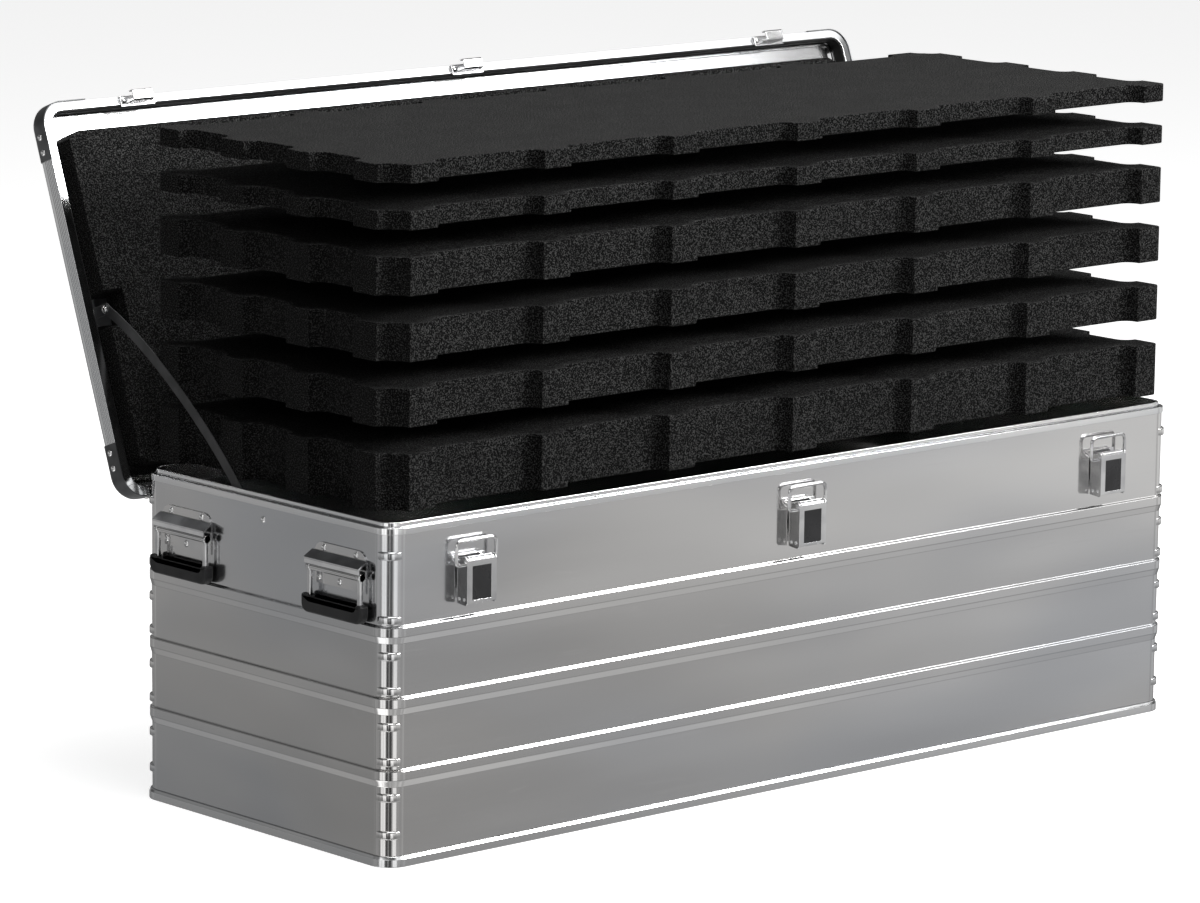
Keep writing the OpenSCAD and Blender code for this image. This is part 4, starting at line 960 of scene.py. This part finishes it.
def lid_rivets():
    """The same for the rivets that ride on the lid, turned with it."""
    lid, fit = settings().lid, settings().fittings
    end, face = lid.length / 2, lid.width / 2
    z, low = lid.rim_height + BRACKET_RIVET_UP, lid.rim_height - LID_RIVET_DOWN
    down = (0.0, 0.0, -1.0)
    rows = []
    for sx, sy in HANDLES.values():
        for d in BRACKET_RIVETS:
            rows += [((sx * (end - d), sy * (face + THIN_PLATE), z), (0.0, sy, 0.0), THIN_GRIP),
                     ((sx * (end + THIN_PLATE), sy * (face - d), z), (sx, 0.0, 0.0), THIN_GRIP)]
    rows += [((at * fit.latch_spread + dx, LID_RIVET_IN - face, low), down, GRIP)
             for at in LATCHES.values() for dx in KEEPER_RIVETS]
    rows += [((x + dx, face - LID_RIVET_IN, low), down, GRIP) for x in HINGES for dx in HINGE_RIVETS]
    turn = lid_matrix()
    return [(turn @ Vector(spot), turn.to_3x3() @ Vector(way), grip) for spot, way, grip in rows]


def make_rivets():
    """Two pieces with all rivets: one rides on the case and one on the lid."""
    fit = settings().fittings
    groups = (
        ("case_rivets", "case", wall_rivets(),
         ("rim_rivets", "hinge_body_rivets", "latch_rivets", "handle_rivets")),
        ("lid_rivets", "lid", lid_rivets(),
         ("hinge_lid_rivets", "lid_corner_rivets", "keeper_rivets")))
    for name, body, rows, nodes in groups:
        spots, ways, grips = zip(*rows)
        piece = grown(name, points_mesh(spots, facing=ways, grip=grips), "Rivet Rows", rivets_tree,
                      "rivet", {"Head Radius": fit.rivet, "Head Height": fit.rivet_height})
        declare(smooth(piece, 60.0), body, "rivet", *nodes)


# Latches

# The bail: distance from the wall, heights of its pivot and top, half widths of its legs and feet
BAIL_OUT, BAIL_PIVOT, BAIL_TOP, BAIL_LEG, BAIL_FOOT = mm(8.5, 312.5, 338.25, 27.25, 18.8)
# The keeper's hook and plate as (out from the wall, up, corner radius), and their widths
HOOK_SECTION = (mm(5, 349, 0), mm(5, 334.8, 2.2), mm(17.5, 334.8, 2.2), mm(17.5, 341.8, 0.5),
                mm(16, 341.8, 0.5), mm(16, 336.3, 1), mm(6.5, 336.3, 1), mm(6.5, 349, 0))
KEEPER_PLATE = (mm(1.8, 349, 0), mm(1.8, 347.5, 0.5), mm(13.8, 347.5, 0.5), mm(13.8, 349, 0))
HOOK_WIDTH, KEEPER_WIDTH, KEEPER_EDGE = mm(27, 46, 0.25)


def bail_path(at):
    """The open path of one bail's wire: feet in the lever's ears, legs and a bent top bar."""
    y = -settings().body.width / 2 - BAIL_OUT
    half = rounded([(BAIL_FOOT, BAIL_PIVOT, 0.0), (BAIL_LEG, BAIL_PIVOT, 3 * MM),
                    (BAIL_LEG, BAIL_TOP, 7 * MM), (0.0, BAIL_TOP, 0.0)], 8)[:-1]
    spots = half + [(-x, z) for x, z in reversed(half)]
    mesh = bpy.data.meshes.new("bail_path")
    mesh.from_pydata([(at + x, y, z) for x, z in spots], [(i, i + 1) for i in range(len(spots) - 1)], [])
    return mesh


def make_keeper(side, at):
    """A keeper's plate and its hook, drawn under the shut lid and turned with it."""
    wall = settings().body.width / 2
    parts = [bar_mesh(rounded(section, 5), width, lambda along, out, up: (at + along, -wall - out, up))
             for section, width in ((HOOK_SECTION, HOOK_WIDTH), (KEEPER_PLATE, KEEPER_WIDTH))]
    piece = bevelled(repaired(link(joined("keeper", parts), "keeper_" + side)), KEEPER_EDGE, 2,
                     CORNER_DEGREES)
    piece.data.transform(lid_matrix())
    coated(piece, "steel")
    declare(flat_kept(smooth(piece, 40.0)), "lid", "steel", "lid_keeper_" + side)


def make_latches():
    """Each latch's plate, lever, bare label plate, wire bail and keeper, and the levers' pins."""
    fit = settings().fittings
    edge = fit.soft_edge
    for side, place in LATCHES.items():
        lever, at = "lever_" + side, place * fit.latch_spread
        fitting("latch_base_" + side, "latch_plate_" + side, "case", "steel", edge * LEAF_EDGE)
        fitting("latch_lever_" + side, lever, lever, "steel", edge)
        fitting("latch_label_" + side, "label_" + side, lever, "label", edge * LABEL_EDGE)
        wire = grown("bail_" + side, bail_path(at), "Wire On A Path", wire_tree, "steel",
                     {"Wire Radius": fit.wire})
        declare(smooth(repaired(wire), 60.0), "bail_" + side, "wire", "latch_bail_" + side)
        make_keeper(side, at)
    fitting("latch_pins", "lever_pins", "case", "wire", edge * THIN_EDGE, "steel")


# Handles

# The grip's inner face; heights of its foot, its raised ends and its top; where the ends step down.
# The hood's section is (out from the wall, up, corner radius)
GRIP_NEAR, GRIP_FOOT, GRIP_ENDS, GRIP_TOP, END_STEP, STEP_FOOT = mm(2.3, 256, 276, 271.4, 9.5, 12.5)
HOOD_SECTION = (mm(1.5, 321.8, 0), mm(2.8, 321.8, 0.4), mm(14.1, 315, 0.3), mm(14.1, 314, 0),
                mm(13, 313.8, 0), mm(13, 313.1, 0), mm(13.25, 313.1, 0.1), mm(13.6, 308.3, 0.5),
                mm(12.3, 308.3, 0.5), mm(12.3, 314.2, 0), mm(2.8, 319.6, 0), mm(2.8, 310.6, 0),
                mm(1.5, 310.6, 0))
HOOD_WIDTH = 89 * MM
# A hood's roof, where its faces look up and outward by more than these, takes the dark finish: partly painted
# dark reflection
ROOF_UP, ROOF_OUT = 0.5, 0.2


def grip_mesh(fit):
    """A grip seen from outside: rounded lower corners and ends that rise round the bars."""
    half = fit.grip_width / 2
    right = [(half, GRIP_FOOT, 10 * MM), (half, GRIP_ENDS, 2.5 * MM),
             (half - END_STEP, GRIP_ENDS, 2.5 * MM), (half - STEP_FOOT, GRIP_TOP, 3 * MM)]
    left = [(-y, z, radius) for y, z, radius in reversed(right)]
    outline = rounded([left[-1], *right, *left[:-1]], 6)
    faces = (GRIP_NEAR, GRIP_NEAR + fit.grip_depth)
    return skin_mesh("grip", [[(x, y, z) for y, z in outline] for x in faces])


def make_hoods():
    """The folded hoods over the handles' pivots: a roof darkened partly by painted dark reflection, a groove
    and a bright front lip.
    """
    half, spread = settings().body.length / 2, settings().fittings.handle_spread

    def at_handle(sx, sy):
        return lambda along, out, up: (sx * (half + out), sy * spread + along, up)

    bars = [bar_mesh(rounded(HOOD_SECTION, 3), HOOD_WIDTH, at_handle(*way)) for way in HANDLES.values()]
    piece = coated(repaired(link(joined("hoods", bars), "hoods")), "steel")
    # Painted dark reflection, in part: faces that look up and outward take the dark bracket finish
    piece.data.materials.append(finish("bracket"))
    for face in piece.data.polygons:
        if face.normal.z > ROOF_UP and abs(face.normal.x) > ROOF_OUT:
            face.material_index = 1
    declare(flat_kept(smooth(piece, 25.0)), "case", "steel", "handle_hoods")


def make_handles():
    """Each handle's plate, bars and grip, and the hoods and rods of all four."""
    body, fit = settings().body, settings().fittings
    for name, (sx, sy) in HANDLES.items():
        handle = "handle_" + name
        fitting("handle_plate_" + name, "plate_" + name, "case", "steel", fit.soft_edge * THIN_EDGE, "plate")
        fitting("handle_loop_" + name, "loop_" + name, handle, "steel", fit.bar_edge, segments=3)
        grip = repaired(link(grip_mesh(fit), "grip_" + name))
        bevelled(grip, fit.grip_edge, 4, CORNER_DEGREES)
        turn = Matrix.Rotation(0.0 if sx > 0 else math.pi, 4, "Z")
        grip.data.transform(Matrix.Translation((sx * body.length / 2, sy * fit.handle_spread, 0.0)) @ turn)
        coated(repaired(grip), "grip")
        declare(flat_kept(smooth(grip, 50.0)), handle, "grip", "handle_grip_" + name)
    make_hoods()
    fitting("handle_rods", "rods", "case", "wire", fit.soft_edge, "steel")


# Foam

def make_foam_layers():
    """The six lift-out layers, from the top one down."""
    for number in range(1, 7):
        name = "foam_" + str(number)
        piece = fitting("foam_layer_" + str(number), name, name, "foam", settings().foam.cut_edge)


def make_lid_foam():
    """The pad in the lid."""
    piece = fitting("lid_foam", "lid_pad", "lid", "foam", settings().foam.cut_edge)


# Lid stays

# Eyes on the lid and on the case, and the curve's pulls from them, as (y, z)
STAY_TOP, STAY_FOOT = mm(284.05, 526.24), mm(46, 350)
STAY_TOP_PULL, STAY_FOOT_PULL = mm(-74, -26), mm(39, 55)
# Distances of the strap's inner face and of the screw from the case's middle
STRAP_INNER, SCREW_PLACE = mm(579.3, 582)
STRAP_STEPS, EYE_STEPS = 48, 40
# Shares of the strap's thickness: its rounded edge, and an eye's thickness
STRAP_BOW, EYE_THICKNESS = 0.3, 1.16
# Edges of an eye that turn by more than this many radians are rounded
RIM_ANGLE = 0.8
# The screw with its washer as (height, radius) from its seat
SCREW_PROFILE = (mm(0, 4.6), mm(0.5, 4.6), mm(0.7, 4.3), mm(0.7, 3.3), mm(1.5, 3), mm(2, 2.2), mm(2.15, 1))
SCREW_STEPS = 36


def stay_line(steps):
    """Points and sideways directions along a stay's curve, from the lid to the case, as (y, z)."""
    a, d = Vector(STAY_TOP), Vector(STAY_FOOT)
    b, c = a + Vector(STAY_TOP_PULL), d + Vector(STAY_FOOT_PULL)
    line = []
    for k in range(steps + 1):
        t = k / steps
        spot = a * (1 - t) ** 3 + b * 3 * t * (1 - t) ** 2 + c * 3 * t * t * (1 - t) + d * t ** 3
        way = (b - a) * (1 - t) ** 2 + (c - b) * 2 * t * (1 - t) + (d - c) * t * t
        line.append((spot, Vector((-way.y, way.x)).normalized()))
    return line


def sideways(x, spot, turn):
    """A quarter turn from up to sideways, moved to a spot."""
    return Matrix.Translation((x, *spot)) @ Matrix.Rotation(math.radians(90) * turn, 4, "Y")


def stay_mesh(side, fit):
    """One flat strap with rounded edges along its curve, and a round eye at both ends."""
    inner, outer = STRAP_INNER, STRAP_INNER + fit.strap
    bow, half = fit.strap * STRAP_BOW, fit.strap_width / 2
    ring = ((inner, half - bow), (inner + bow, half), (outer - bow, half), (outer, half - bow),
            (outer, bow - half), (outer - bow, -half), (inner + bow, -half), (inner, bow - half))
    mesh = skin_mesh("strap", [[(side * x, *(spot + across * w)) for x, w in ring]
                               for spot, across in stay_line(STRAP_STEPS)])
    work = bmesh.new()
    work.from_mesh(mesh)
    for eye in (STAY_TOP, STAY_FOOT):
        made = bmesh.ops.create_cone(work, cap_ends=True, segments=EYE_STEPS, radius1=fit.strap_eye,
                                     radius2=fit.strap_eye, depth=fit.strap * EYE_THICKNESS,
                                     matrix=sideways(side * (inner + outer) / 2, eye, 1))
        rims = {e for v in made["verts"] for e in v.link_edges if e.calc_face_angle(0.0) > RIM_ANGLE}
        bmesh.ops.bevel(work, geom=list(rims), offset=bow, segments=2, affect="EDGES")
    bmesh.ops.recalc_face_normals(work, faces=work.faces)
    return written(work, mesh)


def screw_mesh(side):
    """A screw head in a washer, on the outer side of a stay's upper end."""
    spin = sideways(side * SCREW_PLACE, STAY_TOP, side)
    ring = [Vector((math.cos(angle), math.sin(angle), 0.0))
            for angle in (math.tau * k / SCREW_STEPS for k in range(SCREW_STEPS))]
    return skin_mesh("screw", [[spin @ (way * radius + Vector((0.0, 0.0, height))) for way in ring]
                               for height, radius in SCREW_PROFILE])


def make_stays():
    """The straps with their screws, lugs and spacers."""
    fit = settings().fittings
    for name, side in (("left", -1), ("right", 1)):
        strap = smooth(coated(link(stay_mesh(side, fit), "stay_" + name), "strap"), 40.0)
        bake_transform(strap)
        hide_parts("lid_stay_" + name)
        screw = coated(repaired(link(screw_mesh(side), "stay_screw_" + name)), "steel")
        declare(smooth(screw, 40.0), "lid", "steel")
    fitting("stay_brackets", "stay_lugs", "lid", "bracket", fit.soft_edge * THIN_EDGE)
    fitting("stay_anchors", "stay_spacers", "case", "steel", fit.soft_edge)


# Stage

# The camera's place and far limit in metres, its angles in radians, its lens and sensor in millimetres
CAMERA_PLACE = (-4.48850, -4.84594, 1.57267)
CAMERA_YAW = -0.734459788
CAMERA_PITCH = 0.184090993
CAMERA_ROLL = 0.0121765345
CAMERA_LENS = 180.102
SENSOR_WIDTH = 36.0
FAR_LIMIT = 200.0
FLOOR_REACH = 40.0
FLOOR_DROP = 0.6 * MM
# Lights: place and aim, width and height, all in metres, and the setting with the watts
LIGHTS = {
    "key_light": ((2.6, -3.6, 2.6), (0.1, 0.0, 0.35), 2.4, 1.8, "key"),
    "top_light": ((0.2, -0.4, 3.4), (0.0, 0.0, 0.4), 3.2, 1.6, "top"),
}
# Brightness of the surroundings by the sine of the angle above the horizon
SURROUNDINGS = ((-1.0, 0.60), (-0.55, 0.52), (-0.34, 0.30), (-0.26, 0.36), (-0.19, 0.62), (-0.08, 0.80),
                (0.0, 0.58), (0.10, 0.18), (0.24, 0.12), (0.36, 0.36), (0.5, 0.30), (0.7, 0.12), (1.0, 0.16))
# Bright panels: direction and half width in degrees, lowest and highest sine, strength
PANELS = ((-38, 58, 0.412, 0.66, 1.25), (-158, 24, 0.22, 0.60, 1.3), (-106, 9, -0.34, 0.06, 0.8),
          (-168, 12, -0.34, 0.06, 0.8), (-176, 30, -0.80, -0.45, 1.2))
# Dark gaps in the same columns, with the share of the brightness that is left
DARK_GAPS = ((-129, 6, -0.40, 0.30, 0.16), (-146, 5, -0.40, 0.30, 0.22))

# Windows of the surroundings: shares of the half width where they fade, and blurs of their low and high edge
FADE_FROM, FADE_TO = 0.8, 1.25
LOW_BLUR, HIGH_BLUR = 0.008, 0.03


def make_camera():
    """The photograph's camera."""
    yaw, pitch, roll = CAMERA_YAW, CAMERA_PITCH, CAMERA_ROLL
    ahead = Vector((-math.sin(yaw) * math.cos(pitch), math.cos(yaw) * math.cos(pitch), -math.sin(pitch)))
    right = ahead.cross(Vector((0.0, 0.0, 1.0))).normalized()
    up = right.cross(ahead)
    rolled_right = right * math.cos(roll) + up * math.sin(roll)
    rolled_up = -right * math.sin(roll) + up * math.cos(roll)
    turn = Matrix((rolled_right, rolled_up, -ahead)).transposed().to_4x4()
    data = bpy.data.cameras.new("photo_camera")
    data.sensor_width = SENSOR_WIDTH
    data.sensor_fit = "HORIZONTAL"
    data.lens = CAMERA_LENS
    data.clip_end = FAR_LIMIT
    camera = link(data, "photo_camera")
    camera.matrix_world = Matrix.Translation(CAMERA_PLACE) @ turn
    bpy.context.scene.camera = camera


def floor_material(look):
    """A pale floor. Metal looks through it to the surroundings, so no floor line crosses a panel."""
    material, tree, shader = principled("studio_floor", {
        "Base Color": look.floor, "Roughness": 0.9, "Specular IOR Level": 0.0,
        "Emission Color": EVEN, "Emission Strength": look.floor_glow})
    bounce = add(tree, "ShaderNodeBsdfDiffuse", {"Color": look.bounce})
    clear = add(tree, "ShaderNodeBsdfTransparent")
    ray = add(tree, "ShaderNodeLightPath").outputs
    seen = add(tree, "ShaderNodeMixShader", {
        "Fac": ray["Is Diffuse Ray"], 1: shader.outputs[0], 2: bounce.outputs[0]})
    mirrored = add(tree, "ShaderNodeMixShader", {
        "Fac": ray["Is Glossy Ray"], 1: seen.outputs[0], 2: clear.outputs[0]})
    fill(tree, tree.nodes["Material Output"], {"Surface": mirrored.outputs[0]})
    return material


def area_light(name, place, target, width, height, watts):
    """A rectangular light that looks at its target."""
    data = bpy.data.lights.new(name, "AREA")
    data.shape = "RECTANGLE"
    data.size = width
    data.size_y = height
    data.energy = watts
    aim = (Vector(target) - Vector(place)).to_track_quat("-Z", "Y")
    link(data, name).matrix_world = Matrix.Translation(place) @ aim.to_matrix().to_4x4()


def toward(tree, flat, angle):
    """How far a level direction points to an angle, from minus one to one."""
    return add(tree, "ShaderNodeVectorMath", {0: flat, 1: (math.cos(angle), math.sin(angle), 0.0)},
               operation="DOT_PRODUCT").outputs["Value"]


def masked(tree, flat, height, centre, half, low, high):
    """One inside a window of the surroundings and zero outside it, with soft edges."""
    outer, inner = math.cos(math.radians(half * FADE_TO)), math.cos(math.radians(half * FADE_FROM))
    across = ranged(tree, toward(tree, flat, math.radians(centre)), outer, inner)
    over = ranged(tree, height, low - LOW_BLUR, low + LOW_BLUR)
    under = ranged(tree, height, high - HIGH_BLUR, high + HIGH_BLUR, 1.0, 0.0)
    return product(tree, across, product(tree, over, under))


def make_world(look):
    """Soft surroundings with bright panels and dark gaps, which the metal mirrors."""
    world = bpy.data.worlds.new("studio")
    bpy.context.scene.world = world
    world.use_nodes = True
    tree = world.node_tree
    place = add(tree, "ShaderNodeTexCoord").outputs["Generated"]
    height = add(tree, "ShaderNodeSeparateXYZ", {0: place}).outputs["Z"]
    level = add(tree, "ShaderNodeVectorMath", {0: place, 1: (1.0, 1.0, 0.0)}, operation="MULTIPLY")
    flat = add(tree, "ShaderNodeVectorMath", {0: level.outputs[0]}, operation="NORMALIZE").outputs[0]
    ramp = add(tree, "ShaderNodeFloatCurve", {"Value": total(tree, product(tree, height, 0.5), 0.5)})
    curve = ramp.mapping.curves[0]
    for _ in SURROUNDINGS[2:]:
        curve.points.new(0.5, 0.5)
    for point, (sine, value) in zip(curve.points, SURROUNDINGS):
        point.location = ((sine + 1) / 2, value)
        point.handle_type = "AUTO_CLAMPED"
    ramp.mapping.update()
    pale = ranged(tree, toward(tree, flat, look.pale_side), -0.9, 0.9, 0.8, 1.12)
    strength = product(tree, ramp.outputs["Value"], pale)
    for *window, share in DARK_GAPS:
        gap = masked(tree, flat, height, *window)
        strength = product(tree, strength, ranged(tree, gap, 0.0, 1.0, 1.0, share))
    for *window, glow in PANELS:
        strength = total(tree, strength, product(tree, masked(tree, flat, height, *window), glow))
    drift = ranged(tree, stretched_noise(tree, place, (1.0, 1.0, 0.8), look.drift, 1.5), 0.3, 0.7, 0.78, 1.2)
    mirrored = product(tree, product(tree, strength, drift), look.sky)
    ray = add(tree, "ShaderNodeLightPath").outputs
    kinds = add(tree, "ShaderNodeMix", {
        "Factor": ray["Is Glossy Ray"], "A": product(tree, mirrored, look.soft), "B": mirrored})
    mix = add(tree, "ShaderNodeMix", {
        "Factor": ray["Is Camera Ray"], "A": kinds.outputs[0], "B": 1.0})
    fill(tree, tree.nodes["Background"], {"Color": EVEN, "Strength": mix.outputs[0]})


def make_stage():
    """The camera, the floor, the surroundings and the lights."""
    look = settings().stage
    make_camera()
    mesh = bpy.data.meshes.new("studio_floor")
    mesh.from_pydata([(sx * FLOOR_REACH, sy * FLOOR_REACH, -FLOOR_DROP) for sx, sy in CORNERS], [],
                     [(0, 1, 2, 3)])
    mesh.materials.append(floor_material(look))
    floor = link(mesh, "studio_floor")
    make_world(look)
    for name, (*place, watts) in LIGHTS.items():
        area_light(name, *place, getattr(look, watts))
    bpy.context.scene.view_settings.view_transform = "Standard"


# Operators

class CASE_OT_body_walls(bpy.types.Operator):
    """Sweep the pressed walls of the body"""

    bl_idname = "case.body_walls"
    bl_label = "Body walls"

    def execute(self, context):
        make_body_walls()
        return {"FINISHED"}


class CASE_OT_corner_rings(bpy.types.Operator):
    """Set the pressed rings on the four corners"""

    bl_idname = "case.corner_rings"
    bl_label = "Corner rings"

    def execute(self, context):
        make_corner_rings()
        return {"FINISHED"}


class CASE_OT_base(bpy.types.Operator):
    """Sweep the base rail and finish the floor sheet"""

    bl_idname = "case.base"
    bl_label = "Base"

    def execute(self, context):
        make_base()
        return {"FINISHED"}


class CASE_OT_rim(bpy.types.Operator):
    """Sweep the rim rail with its groove and lip"""

    bl_idname = "case.rim"
    bl_label = "Rim"

    def execute(self, context):
        make_rim()
        return {"FINISHED"}


class CASE_OT_lid_frame(bpy.types.Operator):
    """Sweep the lid's frame and finish its panel"""

    bl_idname = "case.lid_frame"
    bl_label = "Lid frame and panel"

    def execute(self, context):
        make_lid_frame()
        return {"FINISHED"}


class CASE_OT_lid_seal(bpy.types.Operator):
    """Sweep the rubber seal inside the lid's frame"""

    bl_idname = "case.lid_seal"
    bl_label = "Lid seal"

    def execute(self, context):
        make_lid_seal()
        return {"FINISHED"}


class CASE_OT_lid_brackets(bpy.types.Operator):
    """Make the four corner brackets of the lid"""

    bl_idname = "case.lid_brackets"
    bl_label = "Lid corner brackets"

    def execute(self, context):
        make_lid_brackets()
        return {"FINISHED"}


class CASE_OT_hinges(bpy.types.Operator):
    """Make the hinge leaves and finish their pins"""

    bl_idname = "case.hinges"
    bl_label = "Hinges"

    def execute(self, context):
        make_hinges()
        return {"FINISHED"}


class CASE_OT_rivets(bpy.types.Operator):
    """Set every rivet of the case and of the lid"""

    bl_idname = "case.rivets"
    bl_label = "Rivets"

    def execute(self, context):
        make_rivets()
        return {"FINISHED"}


class CASE_OT_latches(bpy.types.Operator):
    """Make the latches with their levers, bails, bare label plates and keepers"""

    bl_idname = "case.latches"
    bl_label = "Latches"

    def execute(self, context):
        make_latches()
        return {"FINISHED"}


class CASE_OT_handles(bpy.types.Operator):
    """Make the four drop handles with their plates, hoods and grips"""

    bl_idname = "case.handles"
    bl_label = "Handles"

    def execute(self, context):
        make_handles()
        return {"FINISHED"}


class CASE_OT_foam_layers(bpy.types.Operator):
    """Make the six lift-out layers of cut foam"""

    bl_idname = "case.foam_layers"
    bl_label = "Foam layers"

    def execute(self, context):
        make_foam_layers()
        return {"FINISHED"}


class CASE_OT_lid_foam(bpy.types.Operator):
    """Make the foam pad of the lid"""

    bl_idname = "case.lid_foam"
    bl_label = "Lid foam"

    def execute(self, context):
        make_lid_foam()
        return {"FINISHED"}


class CASE_OT_stays(bpy.types.Operator):
    """Make the flexible lid stays with their lugs, screws and spacers"""

    bl_idname = "case.stays"
    bl_label = "Lid stays"

    def execute(self, context):
        make_stays()
        return {"FINISHED"}


class CASE_OT_stage(bpy.types.Operator):
    """Set the camera, the floor and the lights"""

    bl_idname = "case.stage"
    bl_label = "Stage"

    def execute(self, context):
        make_stage()
        return {"FINISHED"}


OPERATORS = (
    CASE_OT_stage, CASE_OT_body_walls, CASE_OT_corner_rings, CASE_OT_base, CASE_OT_rim,
    CASE_OT_lid_frame, CASE_OT_lid_seal, CASE_OT_lid_brackets, CASE_OT_hinges, CASE_OT_rivets,
    CASE_OT_latches, CASE_OT_handles, CASE_OT_foam_layers, CASE_OT_lid_foam, CASE_OT_stays,
)


class CASE_PT_sidebar(bpy.types.Panel):
    """Lists the case's settings and its operators in the sidebar."""

    bl_label = "Transport case"
    bl_idname = "CASE_PT_sidebar"
    bl_space_type = "VIEW_3D"
    bl_region_type = "UI"
    bl_category = "Case"

    def draw(self, context):
        for group in ("body", "lid", "fittings", "foam", "metal", "stage"):
            column = self.layout.column(align=True)
            column.label(text=group.capitalize())
            values = getattr(context.scene.transport_case, group)
            for name in values.__annotations__:
                column.prop(values, name)
        for operator in OPERATORS:
            self.layout.operator(operator.bl_idname)


CLASSES = (CaseBodySizes, CaseLidSizes, CaseFittingSizes, CaseFoamLook, CaseMetalLook, CaseStageLook,
           CaseSettings, *OPERATORS, CASE_PT_sidebar)


def register():
    for kind in CLASSES:
        bpy.utils.register_class(kind)
    bpy.types.Scene.transport_case = PointerProperty(type=CaseSettings)


def unregister():
    del bpy.types.Scene.transport_case
    for kind in reversed(CLASSES):
        bpy.utils.unregister_class(kind)


def main():
    register()
    bpy.ops.case.stage()
    bpy.ops.case.body_walls()
    bpy.ops.case.corner_rings()
    bpy.ops.case.base()
    bpy.ops.case.rim()
    bpy.ops.case.lid_frame()
    bpy.ops.case.lid_seal()
    bpy.ops.case.lid_brackets()
    bpy.ops.case.hinges()
    bpy.ops.case.rivets()
    bpy.ops.case.latches()
    bpy.ops.case.handles()
    bpy.ops.case.foam_layers()
    bpy.ops.case.lid_foam()
    bpy.ops.case.stays()


if __name__ == "__main__":
    main()
